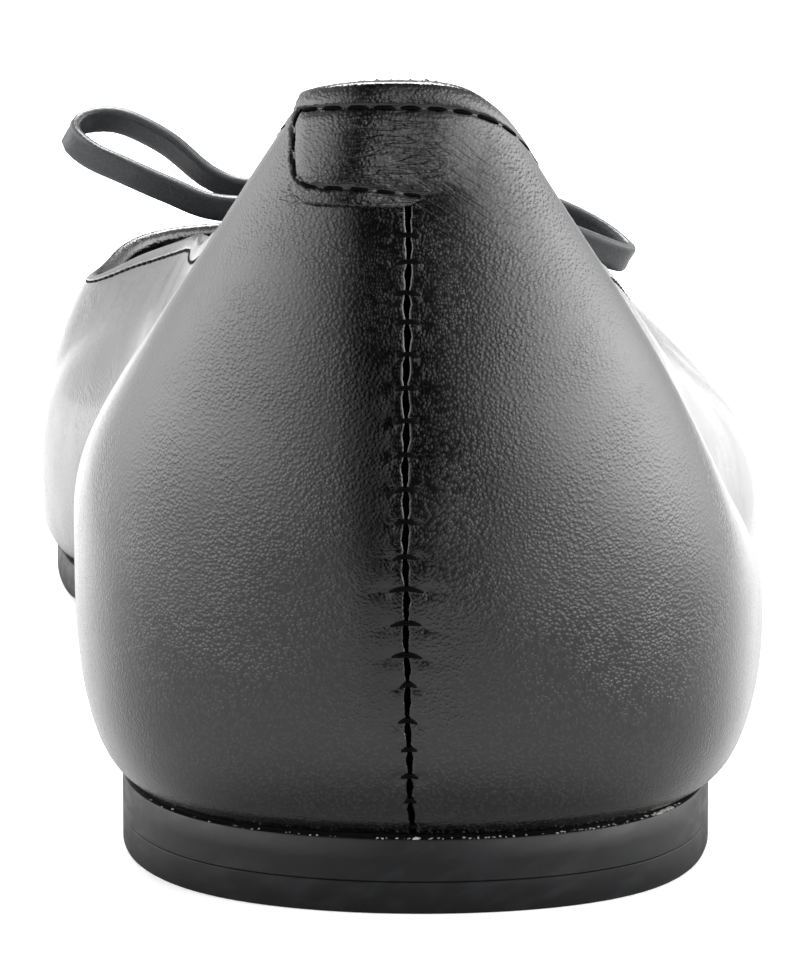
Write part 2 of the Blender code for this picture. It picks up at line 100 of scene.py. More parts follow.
# One row for each section round the upper, from the back seam by the lateral side to the toe and
# back by the medial side: where the wall leaves the sole, how far it bulges, where it is widest,
# the topline's place and height, its slope there in degrees, and the fullness of the curve.
SECTION_COLUMNS = (
    "along", "across", "bulge", "widest", "top_along",
    "top_across", "top", "slope", "rise", "reach",
)
SECTIONS = (
    (0.01, 0.00, 0.80, 0.28, 0.02, -0.02, 1.00, 80, 0.42, 0.25),
    (0.04, 0.77, 1.00, 0.26, 0.03, 0.32, 0.95, 60, 0.50, 0.26),
    (0.10, 1.00, 0.90, 0.30, 0.07, 0.48, 0.81, 66, 0.36, 0.28),
    (0.20, 0.98, 1.30, 0.28, 0.18, 0.56, 0.68, 66, 0.34, 0.30),
    (0.37, 0.80, 1.00, 0.32, 0.35, 0.65, 0.64, 56, 0.34, 0.30),
    (0.52, 0.85, 1.15, 0.26, 0.48, 0.65, 0.68, 46, 0.38, 0.32),
    (0.64, 0.95, 0.80, 0.24, 0.57, 0.60, 0.80, 40, 0.38, 0.38),
    (0.81, 0.80, 0.60, 0.18, 0.64, 0.50, 0.92, 24, 0.34, 0.52),
    (0.94, 0.48, 0.70, 0.16, 0.68, 0.25, 0.96, 16, 0.36, 0.60),
    (1.00, -0.14, 0.70, 0.16, 0.70, -0.10, 0.96, 14, 0.38, 0.62),
    (0.95, -0.66, 0.80, 0.18, 0.68, -0.68, 0.96, 14, 0.42, 0.60),
    (0.85, -0.96, 0.95, 0.22, 0.64, -0.90, 0.89, 12, 0.46, 0.52),
    (0.70, -1.06, 0.80, 0.26, 0.58, -0.92, 0.89, 26, 0.46, 0.38),
    (0.56, -0.96, 1.00, 0.36, 0.49, -0.76, 0.88, 50, 0.40, 0.32),
    (0.38, -0.75, 1.20, 0.42, 0.36, -0.72, 0.70, 56, 0.38, 0.30),
    (0.20, -0.94, 1.20, 0.42, 0.19, -0.70, 0.73, 66, 0.40, 0.30),
    (0.10, -0.98, 0.85, 0.38, 0.08, -0.46, 0.90, 62, 0.40, 0.30),
    (0.04, -0.72, 1.00, 0.28, 0.03, -0.35, 0.98, 58, 0.46, 0.26),
)

# The outsole's underside: share of the length, then shares of lift, arch and toe spring.
UNDERSIDE = (
    (0.000, 1.00, 0.00, 0.00),
    (0.150, 1.00, 0.00, 0.00),
    (0.225, 1.00, 0.10, 0.00),
    (0.370, 0.60, 0.80, 0.00),
    (0.500, 0.10, 0.42, 0.00),
    (0.590, 0.00, 0.00, 0.00),
    (0.740, 0.00, 0.00, 0.00),
    (0.860, 0.00, 0.00, 0.20),
    (1.000, 0.00, 0.00, 1.00),
)


def spline(knots: Array, values: Array, wanted: Array) -> Array:
    """Closed cubic curve through values at knots, over a period of 1.

    Args:
        knots: Rising places from 0, below 1.
        values: The curve's value at each knot.
        wanted: Places to read the curve at.

    Returns:
        The curve's values there.
    """
    count = len(knots)
    spans = np.diff(np.append(knots, knots[0] + 1.0))
    slopes = (np.roll(values, -1) - values) / spans
    system = np.zeros((count, count))
    right = np.zeros(count)
    for row in range(count):
        before, here = spans[row - 1], spans[row]
        system[row, row - 1] += before
        system[row, row] += 2.0 * (before + here)
        system[row, (row + 1) % count] += here
        right[row] = 6.0 * (slopes[row] - slopes[row - 1])
    bends = np.linalg.solve(system, right)
    place = (np.asarray(wanted) - knots[0]) % 1.0 + knots[0]
    cell = np.clip(np.searchsorted(knots, place, side="right") - 1, 0, count - 1)
    after = (cell + 1) % count
    span = spans[cell]
    ahead = (knots[cell] + span - place) / span
    behind = 1.0 - ahead
    straight = ahead * values[cell] + behind * values[after]
    bend = (ahead**3 - ahead) * bends[cell] + (behind**3 - behind) * bends[after]
    return straight + bend * span**2 / 6.0


def ease(value: Array) -> Array:
    """0 below 0, 1 above 1 and an even curve between."""
    share = np.clip(value, 0.0, 1.0)
    return share * share * (3.0 - 2.0 * share)


def bell(distance: Array, width: float) -> Array:
    """A soft hump, 1 at no distance and fading over its width."""
    return np.exp(-((distance / width) ** 2))


def unit(vectors: Array) -> Array:
    """The vectors at length 1."""
    return vectors / np.maximum(np.linalg.norm(vectors, axis=-1), 1e-12)[..., None]


def run_of(points: Array) -> Array:
    """Distance from the first point to each point of a line."""
    return np.append(0.0, np.cumsum(np.linalg.norm(np.diff(points, axis=0), axis=1)))


def runs_of(lines: Array) -> Array:
    """Distance from the first point along each of several lines, by line and point."""
    steps = np.linalg.norm(np.diff(lines, axis=1), axis=2)
    return np.concatenate([np.zeros((len(lines), 1)), np.cumsum(steps, axis=1)], axis=1)


def read_line(line: Array, run: Array, at: Array) -> Array:
    """Points of a line, or directions kept along it, at distances from its start."""
    return np.stack([np.interp(at, run, line[:, axis]) for axis in range(3)], axis=1)


def bezier(start: Array, leave: Array, arrive: Array, end: Array, share: Array) -> Array:
    """Cubic curve, at shares that are clipped to its ends.

    Args:
        start: First point.
        leave: Handle after it.
        arrive: Handle before the end.
        end: Last point.
        share: Shares of the way from start to end.

    Returns:
        The curve's points.
    """
    t = np.clip(share, 0.0, 1.0)[..., None]
    s = 1.0 - t
    return s**3 * start + 3 * s * s * t * leave + 3 * s * t * t * arrive + t**3 * end


def underside_height(along: Array) -> Array:
    """Height of the outsole's underside above the floor, by share of the length.

    Args:
        along: Shares of the shoe's length from the heel.

    Returns:
        The heights.
    """
    table = np.array(UNDERSIDE)
    heights = table[:, 1:] @ np.array((SIZES.lift + SIZES.gap, SIZES.arch_rise, SIZES.toe_spring))
    stations = table[:, 0]
    tangents = np.gradient(heights, stations)
    flat = np.isclose(np.diff(heights), 0.0)
    tangents[:-1][flat] = 0.0
    tangents[1:][flat] = 0.0
    place = np.clip(along, 0.0, 1.0)
    cell = np.clip(np.searchsorted(stations, place, side="right") - 1, 0, len(stations) - 2)
    span = stations[cell + 1] - stations[cell]
    share = (place - stations[cell]) / span
    start, end = heights[cell], heights[cell + 1]
    lean = share * (1 - share) * ((1 - share) * tangents[cell] - share * tangents[cell + 1])
    return start + (end - start) * ease(share) + lean * span


class Last:
    """The form that the upper is pulled over: around from the back seam, up from the sole."""

    def __init__(self, sizes: ShoeSizes) -> None:
        """Reads the sections and finds the last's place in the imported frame.

        Args:
            sizes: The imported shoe's sizes.
        """
        self.sizes = sizes
        rows = np.array(SECTIONS)
        share = {name: rows[:, index] for index, name in enumerate(SECTION_COLUMNS)}
        half_foot = self.local(sizes.heel_width, sizes.ball_width, share["along"]) / 2
        half_top = self.local(sizes.heel_width, sizes.ball_width, share["top_along"]) / 2
        tall = self.local(sizes.back_height, sizes.instep_height, share["top_along"])
        self.table = {
            "foot_x": share["across"] * half_foot,
            "foot_y": share["along"] * sizes.length,
            "bulge": share["bulge"]
            * self.local(sizes.heel_bulge, sizes.ball_bulge, share["along"]),
            "top_x": share["top_across"] * half_top,
            "top_y": share["top_along"] * sizes.length,
            "top_rise": share["top"] * tall,
            "slope": np.radians(share["slope"]),
            "widest": share["widest"],
            "rise": share["rise"],
            "reach": share["reach"],
        }
        steps = np.hypot(
            np.roll(self.table["foot_x"], -1) - self.table["foot_x"],
            np.roll(self.table["foot_y"], -1) - self.table["foot_y"],
        )
        self.knots = np.append(0.0, np.cumsum(steps)[:-1]) / steps.sum()
        self.shift = np.zeros(3)
        edge = self.edge(np.linspace(0.0, 1.0, 2001), sizes.sole_margin, 0.0)
        low = np.array(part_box("outsole")[0])
        self.shift[:2] = low[:2] - edge.min(axis=0)[:2]

    def local(self, heel: float, fore: float, along: Array) -> Array:
        """The size that holds at a share of the length: the heel's, the forefoot's or a blend."""
        span = self.sizes.ball_start - self.sizes.heel_end
        return heel + (fore - heel) * ease((np.asarray(along) - self.sizes.heel_end) / span)

    def column(self, name: str, around: Array) -> Array:
        """One column of the section table, round the shoe."""
        return spline(self.knots, self.table[name], around)

    def height(self, y: Array) -> Array:
        """Height of the outsole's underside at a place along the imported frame's Y."""
        return underside_height((y - self.shift[1]) / self.sizes.length)

    def foot(self, around: Array) -> tuple[Array, Array]:
        """Points of the feather line, where upper and sole meet, and the way out from them.

        Args:
            around: Places round the shoe, 0 to 1 from the back seam.

        Returns:
            The points, and unit vectors that lead level away from the shoe.
        """
        step = 1e-4
        x, y = self.column("foot_x", around), self.column("foot_y", around)
        run_x = self.column("foot_x", around + step) - self.column("foot_x", around - step)
        run_y = self.column("foot_y", around + step) - self.column("foot_y", around - step)
        size = np.hypot(run_x, run_y)
        outward = np.stack([run_y / size, -run_x / size, np.zeros_like(size)], axis=-1)
        seat = underside_height(y / self.sizes.length) + self.sizes.outsole + self.sizes.gap
        return np.stack([x, y, seat], axis=-1) + self.shift, outward

    def edge(self, around: Array, margin: Array, height: Array) -> Array:
        """Points outside the feather line by a margin, at a height over the sole's underside.

        Args:
            around: Places round the shoe, 0 to 1 from the back seam.
            margin: Distances outside the feather line.
            height: Heights over the sole's underside.

        Returns:
            The points.
        """
        foot, outward = self.foot(around)
        points = foot + outward * np.asarray(margin)[..., None]
        points[..., 2] = self.height(points[..., 1]) + height
        return points

    def surface(self, around: Array, up: Array) -> Array:
        """Points of the upper's outer face.

        Args:
            around: Places round the shoe, 0 to 1 from the back seam.
            up: Shares of the way up the wall.

        Returns:
            The points, with a last axis of X, Y and Z.
        """
        around, up = np.broadcast_arrays(np.asarray(around, float), np.asarray(up, float))
        foot, out = self.foot(around)
        rise = np.zeros_like(foot)
        rise[..., 2] = 1.0
        top_y = self.column("top_y", around)
        seat = underside_height(top_y / self.sizes.length) + self.sizes.outsole
        top = np.stack(
            [self.column("top_x", around), top_y, seat + self.column("top_rise", around)], axis=-1
        ) + self.shift
        lift = (self.column("widest", around) * (top[..., 2] - foot[..., 2]))[..., None]
        bulge = self.column("bulge", around)[..., None]
        widest = foot + bulge * out + lift * rise
        lower = bezier(
            foot, foot + 0.85 * bulge * out + 0.12 * lift * rise,
            widest - 0.62 * lift * rise, widest,
            up / self.sizes.widest_at,
        )
        away = widest - top
        away[..., 2] = 0.0
        away = unit(away)
        slope = self.column("slope", around)[..., None]
        distance = np.linalg.norm(widest - top, axis=-1)[..., None]
        arrival = away * np.cos(slope) - rise * np.sin(slope)
        climb = self.column("rise", around)[..., None] * (top - widest)[..., 2:]
        reach = self.column("reach", around)[..., None]
        upper = bezier(
            widest, widest + climb * rise, top + reach * distance * arrival, top,
            (up - self.sizes.widest_at) / (1.0 - self.sizes.widest_at),
        )
        return np.where((up < self.sizes.widest_at)[..., None], lower, upper)

    def normal(self, around: Array, up: Array) -> Array:
        """Unit normals of the outer face, pointing out of the shoe.

        Args:
            around: Places round the shoe, 0 to 1 from the back seam.
            up: Shares of the way up the wall.

        Returns:
            The normals, with a last axis of X, Y and Z.
        """
        step = 1e-3
        low, high = np.clip(up - step, 0.0, 1.0), np.clip(up + step, 0.0, 1.0)
        run = self.surface(around + step, up) - self.surface(around - step, up)
        climb = self.surface(around, high) - self.surface(around, low)
        return unit(np.cross(run, climb))

    def climb(self, around: Array, up: Array) -> Array:
        """Unit directions up the outer face, along its columns."""
        low, high = np.clip(up - 0.01, 0.0, 1.0), np.clip(up + 0.01, 0.0, 1.0)
        return unit(self.surface(around, high) - self.surface(around, low))

    def up_below_top(self, around: Array, distance: Array) -> Array:
        """How far up the face a point lies that is a distance below the topline.

        Args:
            around: Places round the shoe, any shape.
            distance: Distances down from the topline, in metres, of the same shape.

        Returns:
            Values of up, of the same shape.
        """
        around, distance = np.broadcast_arrays(
            np.asarray(around, float), np.asarray(distance, float)
        )
        ups = np.linspace(1.0, 0.0, 90)
        flat_around, flat_distance = around.ravel(), distance.ravel()
        runs = runs_of(self.surface(flat_around[:, None], ups[None, :]))
        found = [np.interp(want, run, ups) for want, run in zip(flat_distance, runs)]
        return np.array(found).reshape(around.shape)

    def around_at(self, up: float, distance: Array) -> Array:
        """Places round the shoe at signed distances from the back seam, at one height.

        Args:
            up: Share of the way up the wall.
            distance: Distances along the face, the lateral side positive.

        Returns:
            Places round the shoe.
        """
        turns = np.linspace(-0.09, 0.09, 181)
        run = run_of(self.surface(turns, np.full(len(turns), up)))
        return np.interp(distance, run - run[len(turns) // 2], turns)


# ---- making pieces


def quiet() -> None:
    """Leaves edit mode and deselects everything."""
    if bpy.context.object and bpy.context.object.mode != "OBJECT":
        bpy.ops.object.mode_set(mode="OBJECT")
    bpy.ops.object.select_all(action="DESELECT")


def pick(piece: Piece) -> None:
    """Makes one object the only one that operators act on.

    Args:
        piece: The piece.
    """
    quiet()
    piece.select_set(True)
    bpy.context.view_layer.objects.active = piece


def edit_all() -> None:
    """Enters edit mode with everything selected."""
    bpy.ops.object.mode_set(mode="EDIT")
    bpy.ops.mesh.select_all(action="SELECT")


def points_of(piece: Piece) -> Array:
    """The mesh's points as an array of rows of X, Y and Z.

    Args:
        piece: The piece.

    Returns:
        The points, as rows of X, Y and Z.
    """
    flat = np.empty(len(piece.data.vertices) * 3, dtype=np.float32)
    piece.data.vertices.foreach_get("co", flat)
    return flat.reshape(-1, 3).astype(float)


def lay(piece: Piece, points: Array) -> None:
    """Moves the mesh's points to new places."""
    piece.data.vertices.foreach_set("co", np.asarray(points, dtype=np.float32).ravel())
    piece.data.update()


def sheet(name: str, across: int, along: int, place: Place) -> Piece:
    """A flat sheet that is cut on the table and then laid in its place.

    Args:
        name: The piece's name.
        across: Cells across the sheet.
        along: Cells along the sheet.
        place: Takes column and row numbers and gives the points in the shoe's frame.

    Returns:
        The sheet as an object at the origin.
    """
    quiet()
    bpy.ops.mesh.primitive_grid_add(x_subdivisions=across, y_subdivisions=along, size=1.0)
    piece = bpy.context.object
    piece.name = name
    flat = points_of(piece)
    columns = np.rint((flat[:, 0] + 0.5) * across).astype(int)
    rows = np.rint((flat[:, 1] + 0.5) * along).astype(int)
    lay(piece, place(columns, rows))
    return piece


def grid_sheet(name: str, grid: Array) -> Piece:
    """A sheet laid on a grid of points, by row and column."""
    return sheet(name, grid.shape[1] - 1, grid.shape[0] - 1, lambda column, row: grid[row, column])


def weld(piece: Piece, distance: float = 1e-6) -> None:
    """Joins the points that meet and turns all faces outwards.

    Args:
        piece: The piece.
        distance: Points closer than this are joined.
    """
    pick(piece)
    edit_all()
    bpy.ops.mesh.remove_doubles(threshold=distance)
    bpy.ops.mesh.normals_make_consistent(inside=False)
    bpy.ops.object.mode_set(mode="OBJECT")


def close_ends(piece: Piece) -> None:
    """Closes the open ends of a tube with a face each.

    Args:
        piece: The tube.
    """
    pick(piece)
    bpy.ops.object.mode_set(mode="EDIT")
    bpy.ops.mesh.select_mode(type="EDGE")
    bpy.ops.mesh.select_all(action="DESELECT")
    bpy.ops.mesh.select_non_manifold(extend=False)
    bpy.ops.mesh.edge_face_add()
    bpy.ops.mesh.select_all(action="SELECT")
    bpy.ops.mesh.normals_make_consistent(inside=False)
    bpy.ops.object.mode_set(mode="OBJECT")


def smooth(piece: Piece, angle: float = 35.0) -> None:
    """Shades a piece smooth and keeps the edges that are sharper than an angle in degrees."""
    pick(piece)
    bpy.ops.object.shade_smooth_by_angle(angle=math.radians(angle))


def shade_all(piece: Piece) -> None:
    """Shades a piece smooth all over."""
    pick(piece)
    bpy.ops.object.shade_smooth()


def lying_ball(rings: int) -> Piece:
    """A ball with its poles on the X axis, to be drawn out into a stitch.

    Args:
        rings: Its rings from pole to pole.

    Returns:
        The ball, at the origin.
    """
    quiet()
    bpy.ops.mesh.primitive_uv_sphere_add(segments=8, ring_count=rings, radius=1.0)
    ball = bpy.context.object
    edit_all()
    bpy.ops.transform.rotate(
        value=math.pi / 2, orient_axis="Y", center_override=(0.0, 0.0, 0.0)
    )
    bpy.ops.object.mode_set(mode="OBJECT")
    return ball


def join(name: str, pieces: Sequence[Piece]) -> Piece:
    """Joins copies into one piece under one name.

    Args:
        name: The joined piece's name.
        pieces: The copies.

    Returns:
        The joined piece.
    """
    quiet()
    for piece in pieces:
        piece.select_set(True)
    bpy.context.view_layer.objects.active = pieces[0]
    bpy.ops.object.join()
    joined = bpy.context.object
    joined.name = name
    return joined


def copy_of(piece: Piece, points: Array) -> Piece:
    """A copy with its own mesh and its own points.

    Args:
        piece: The piece to copy.
        points: The copy's points.

    Returns:
        The copy.
    """
    other = piece.copy()
    other.data = piece.data.copy()
    bpy.context.collection.objects.link(other)
    lay(other, points)
    return other


class Slot(Enum):
    """The record's material slots."""

    LEATHER = "leather"
    RUBBER = "rubber"
    FOOTBED = "footbed"
    LACE = "lace_leather"


def finish_piece(
    piece: Piece, material: bpy.types.Material, replaces: Sequence[str] = (),
) -> Piece:
    """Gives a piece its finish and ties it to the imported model.

    Args:
        piece: The finished mesh.
        material: What it is made of.
        replaces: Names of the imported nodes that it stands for.

    Returns:
        The same piece.
    """
    piece.data.materials.clear()
    piece.data.materials.append(material)
    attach(piece, "root")
    if replaces:
        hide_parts(*replaces)
    log.info("%s: %d faces", piece.name, len(piece.data.polygons))
    return piece


# ---- finishes


@dataclass(frozen=True)
class Spot:
    """A round place on the heel seen from behind: its middle, and where its fading runs."""

    x: float
    z: float
    inner: float
    outer: float


class Graph:
    """A node tree with short ways to add and link its nodes."""

    def __init__(self, tree: bpy.types.NodeTree) -> None:
        """Keeps the tree."""
        self.tree = tree

    def put(self, socket: Socket, value: object) -> None:
        """Links another socket in, or sets a plain value.

        Args:
            socket: The input.
            value: An output's socket or a plain value.
        """
        if isinstance(value, Socket):
            self.tree.links.new(value, socket)
        else:
            socket.default_value = value

    def add(self, kind: str, **values: object) -> bpy.types.Node:
        """Adds a node and sets its properties and named inputs.

        Args:
            kind: The node's type name, without its first word Shader.
            values: Properties, or inputs with their spaces written as underscores.

        Returns:
            The new node.
        """
        node = self.tree.nodes.new("ShaderNode" + kind)
        for name, value in values.items():
            if hasattr(node, name):
                setattr(node, name, value)
            else:
                self.put(node.inputs[name.replace("_", " ")], value)
        return node

    def math(self, operation: str, first: object, second: object = 0.0) -> Socket:
        """One sum, product or other operation on two values.

        Args:
            operation: Blender's name of it.
            first: First value or socket.
            second: Second value or socket.

        Returns:
            The result's socket.
        """
        node = self.add("Math", operation=operation)
        self.put(node.inputs[0], first)
        self.put(node.inputs[1], second)
        return node.outputs[0]

    def times(self, first: object, second: object) -> Socket:
        """The product of two values."""
        return self.math("MULTIPLY", first, second)

    def rest(self, value: object) -> Socket:
        """What is left of 1 after a value."""
        return self.math("SUBTRACT", 1.0, value)

    def turn(self, vector: object, angle: float, scale: Triple) -> Socket:
        """Coordinates turned about Y by an angle in degrees and then stretched.

        Args:
            vector: Coordinates on the piece.
            angle: Angle in degrees.
            scale: Stretch along each axis.

        Returns:
            The result's socket.
        """
        turned = self.add(
            "VectorRotate", rotation_type="Y_AXIS", Vector=vector, Angle=math.radians(angle)
        )
        node = self.add("VectorMath", operation="MULTIPLY")
        self.put(node.inputs[0], turned.outputs[0])
        node.inputs[1].default_value = scale
        return node.outputs[0]

    def span(
        self, value: object, low: float, high: float, start: float, end: float, soft: bool = True,
    ) -> Socket:
        """Maps low to high onto start to end, held at the ends.

        Args:
            value: The value to map.
            low: It maps to start.
            high: It maps to end.
            start: Result at low.
            end: Result at high.
            soft: Whether the way between is eased.

        Returns:
            The result's socket.
        """
        kind = "SMOOTHSTEP" if soft else "LINEAR"
        node = self.add("MapRange", interpolation_type=kind, From_Min=low, From_Max=high)
        self.put(node.inputs["Value"], value)
        node.inputs["To Min"].default_value = start
        node.inputs["To Max"].default_value = end
        return node.outputs["Result"]

    def noise(self, vector: object, scale: float, detail: float = 2.0) -> Socket:
        """Soft noise from 0 to 1."""
        return self.add("TexNoise", Vector=vector, Scale=scale, Detail=detail).outputs["Fac"]

    def folds(self, vector: object, scale: float = 1.0) -> Socket:
        """Sharp narrow valleys between soft ridges, 0 in the valleys."""
        field = self.math("SUBTRACT", self.noise(vector, scale, 3.0), 0.5)
        return self.span(self.math("ABSOLUTE", field), 0.0, 0.11, 0.0, 1.0)

    def near(self, flat: object, spot: Spot) -> Socket:
        """1 on a spot seen from behind, fading to 0 round it.

        Args:
            flat: Coordinates with Y left out.
            spot: The spot.

        Returns:
            The result's socket.
        """
        node = self.add("VectorMath", operation="DISTANCE")
        self.put(node.inputs[0], flat)
        node.inputs[1].default_value = (spot.x, 0.0, spot.z)
        return self.span(node.outputs["Value"], spot.inner, spot.outer, 1.0, 0.0)

    def blend(self, share: object, low: Sequence[float], high: Sequence[float]) -> Socket:
        """A colour between two, by a share from 0 to 1.

        Args:
            share: 0 for low, 1 for high.
            low: First colour.
            high: Second colour.

        Returns:
            The colour's socket.
        """
        node = self.add("Mix", data_type="RGBA")
        self.put(node.inputs[0], share)
        node.inputs[6].default_value = (*low, 1.0)
        node.inputs[7].default_value = (*high, 1.0)
        return node.outputs[2]

    def bump(self, height: object, distance: float, strength: float) -> Socket:
        """Normals for a relief of a depth in metres."""
        node = self.add("Bump", Strength=strength, Distance=distance, Height=height)
        return node.outputs["Normal"]


@dataclass(frozen=True)
class Grain:
    """Leather grain: pebbles, drawn wrinkles round the tab, a slow cloudiness and lighter pebble
    tops.

    Scales are in turns per metre, and heights are shares of the material's depth of grain.
    """

    warp_scale: float = 900.0
    warp_reach: float = 0.00020
    fine_scale: float = 5200.0
    fine_share: float = 0.5
    patch_scale: float = 210.0
    patch_low: float = 0.55
    low_from: float = 0.012
    low_to: float = 0.034
    low_share: float = 0.75
    cloud_scale: float = 60.0
    taut: Spot = Spot(0.0003, 0.0066, 0.0024, 0.0052)
    taut_squeeze: float = 0.14
    taut_from: float = -0.085
    taut_to: float = -0.070
    taut_calm: float = 0.55
    folded: Spot = Spot(0.0040, 0.0630, 0.0030, 0.0090)
    folded_calm: float = 0.6
    level: Spot = Spot(0.0006, 0.0640, 0.0025, 0.0068)
    level_scale: Triple = (260.0, 700.0, 1500.0)
    level_height: float = 1.2
    fan: Spot = Spot(0.0080, 0.0605, 0.0020, 0.0090)
    fan_angle: float = -33.0
    fan_scale: Triple = (150.0, 500.0, 1300.0)
    fan_height: float = 0.7

    def group(self) -> bpy.types.NodeTree:
        """The node group, with its sockets laid out.

        Returns:
            The group, ready to be placed in each leather.
        """
        tree = bpy.data.node_groups.new("leather_grain", "ShaderNodeTree")
        face = tree.interface
        face.new_socket("Vector", in_out="INPUT", socket_type="NodeSocketVector")
        for name in ("Pebble Scale", "Drawn"):
            face.new_socket(name, in_out="INPUT", socket_type="NodeSocketFloat")
        for name in ("Height", "Cloud", "Taut", "Worn"):
            face.new_socket(name, in_out="OUTPUT", socket_type="NodeSocketFloat")
        start = tree.nodes.new("NodeGroupInput")
        end = tree.nodes.new("NodeGroupOutput")
        graph = Graph(tree)
        vector = start.outputs["Vector"]
        flat = graph.turn(vector, 0.0, (1.0, 0.0, 1.0))
        taut = self.stretched(graph, vector)
        cells = self.cells(graph, vector, start.outputs["Pebble Scale"])
        pebbles = self.pebbles(graph, vector, cells)
        folded = graph.near(flat, self.folded)
        calm = graph.math(
            "MAXIMUM", graph.times(taut, self.taut_calm), graph.times(folded, self.folded_calm)
        )
        grain = graph.times(pebbles, graph.rest(calm))
        drawn = graph.times(self.wrinkles(graph, vector, flat), start.outputs["Drawn"])
        # 1 in the pebbles' middles, which are coloured lighter.
        worn = graph.span(cells, 0.15, 0.60, 1.0, 0.0)
        graph.put(end.inputs["Height"], graph.math("ADD", grain, drawn))
        graph.put(end.inputs["Cloud"], graph.noise(vector, self.cloud_scale, 3.0))
        graph.put(end.inputs["Taut"], taut)
        graph.put(end.inputs["Worn"], graph.times(worn, graph.rest(taut)))
        return tree

    def stretched(self, graph: Graph, vector: object) -> Socket:
        """Where the leather is pulled smooth along the back seam.

        Args:
            graph: The group's nodes.
            vector: Coordinates on the piece.

        Returns:
            A mask, 1 where it is smooth.
        """
        seam_wise = graph.turn(vector, 0.0, (1.0, 0.0, self.taut_squeeze))
        y = graph.add("SeparateXYZ", Vector=vector).outputs["Y"]
        at_heel = graph.span(y, self.taut_from, self.taut_to, 1.0, 0.0)
        return graph.times(graph.near(seam_wise, self.taut), at_heel)

    def cells(self, graph: Graph, vector: object, scale: object) -> Socket:
        """Distance from the middle of the nearest pebble, on warped coordinates.

        Args:
            graph: The group's nodes.
            vector: Coordinates on the piece.
            scale: Pebbles per metre.

        Returns:
            The distance's socket, in pebbles.
        """
        warp = graph.add("TexNoise", Vector=vector, Scale=self.warp_scale, Detail=1.0)
        push = graph.add("VectorMath", operation="SCALE")
        graph.put(push.inputs[0], warp.outputs["Color"])
        push.inputs["Scale"].default_value = self.warp_reach
        bent = graph.add("VectorMath", operation="ADD")
        graph.put(bent.inputs[0], vector)
        graph.put(bent.inputs[1], push.outputs["Vector"])
        cells = graph.add("TexVoronoi", feature="F1", Vector=bent.outputs["Vector"])
        graph.put(cells.inputs["Scale"], scale)
        return cells.outputs["Distance"]

    def pebbles(self, graph: Graph, vector: object, cells: object) -> Socket:
        """Height of the pebbles, uneven in patches and lower near the sole.

        Args:
            graph: The group's nodes.
            vector: Coordinates on the piece.
            cells: Distance from the nearest pebble's middle.

        Returns:
            The height's socket.
        """
        pebble = graph.span(cells, 0.0, 0.80, 1.0, 0.0)
        fine = graph.times(graph.noise(vector, self.fine_scale, 1.0), self.fine_share)
        patches = graph.span(
            graph.noise(vector, self.patch_scale), 0.35, 0.65, self.patch_low, 1.0
        )
        z = graph.add("SeparateXYZ", Vector=vector).outputs["Z"]
        tall = graph.span(z, self.low_from, self.low_to, self.low_share, 1.0)
        return graph.times(graph.times(graph.math("ADD", pebble, fine), patches), tall)

    def wrinkles(self, graph: Graph, vector: object, flat: object) -> Socket:
        """Height of the wrinkles across the tab and of those that fan out beside it.

        Args:
            graph: The group's nodes.
            vector: Coordinates on the piece.
            flat: Coordinates with Y left out.

        Returns:
            The height's socket.
        """
        level = graph.folds(graph.turn(vector, 0.0, self.level_scale))
        level = graph.times(level, graph.near(flat, self.level))
        fan = graph.folds(graph.turn(vector, self.fan_angle, self.fan_scale))
        fan = graph.times(fan, graph.near(flat, self.fan))
        return graph.math(
            "ADD", graph.times(level, self.level_height), graph.times(fan, self.fan_height)
        )


class Look(Graph):
    """A new material's graph, with its shader and the piece's own coordinates."""

    def __init__(self, name: str) -> None:
        """Makes the material and finds its nodes.

        Args:
            name: The material's name.
        """
        self.material = bpy.data.materials.new(name)
        self.material.use_nodes = True
        super().__init__(self.material.node_tree)
        self.shader = self.tree.nodes["Principled BSDF"]
        self.place = self.add("TexCoord").outputs["Object"]

    def dress(self, **inputs: object) -> bpy.types.Material:
        """Sets or links the shader's inputs.

        Args:
            inputs: Inputs by name, with their spaces written as underscores.

        Returns:
            The finished material.
        """
        for name, value in inputs.items():
            self.put(self.shader.inputs[name.replace("_", " ")], value)
        return self.material


@dataclass(frozen=True)
class Leather:
    """A dyed leather: its grain, gloss and depth of grain in metres.

    Along the back seam it is pulled taut, where it is smoother and has no coat. The pebbles'
    tops are lighter by a plain amount in each colour.
    """

    name: str
    color: Triple = (0.0012, 0.0012, 0.0013)
    roughness: float = 0.18
    pebble: float = 3200.0
    drawn: float = 1.0
    depth: float = 0.000034
    coat: float = 0.28
    coat_roughness: float = 0.12
    specular: float = 0.50
    taut_polish: float = 0.45
    # How much lighter the pebbles' middles are, in each colour.
    worn: float = 0.0100

    def make(self, grain: bpy.types.NodeTree) -> bpy.types.Material:
        """The material, with the grain's group placed in it.

        Args:
            grain: The group that all leathers share.

        Returns:
            The finished material.
        """
        look = Look(self.name)
        group = look.tree.nodes.new("ShaderNodeGroup")
        group.node_tree = grain
        look.put(group.inputs["Vector"], look.place)
        group.inputs["Pebble Scale"].default_value = self.pebble
        group.inputs["Drawn"].default_value = self.drawn
        out = group.outputs
        lighter = tuple(part + self.worn for part in self.color)
        rough = look.span(out["Cloud"], 0.3, 0.7, self.roughness - 0.04, self.roughness + 0.06)
        dull = look.rest(look.times(out["Taut"], self.taut_polish))
        return look.dress(
            Base_Color=look.blend(out["Worn"], self.color, lighter),
            Normal=look.bump(out["Height"], self.depth, 1.0),
            Roughness=look.times(rough, dull),
            Specular_IOR_Level=self.specular,
            Coat_Weight=look.times(look.rest(out["Taut"]), self.coat),
            Coat_Roughness=self.coat_roughness,
        )


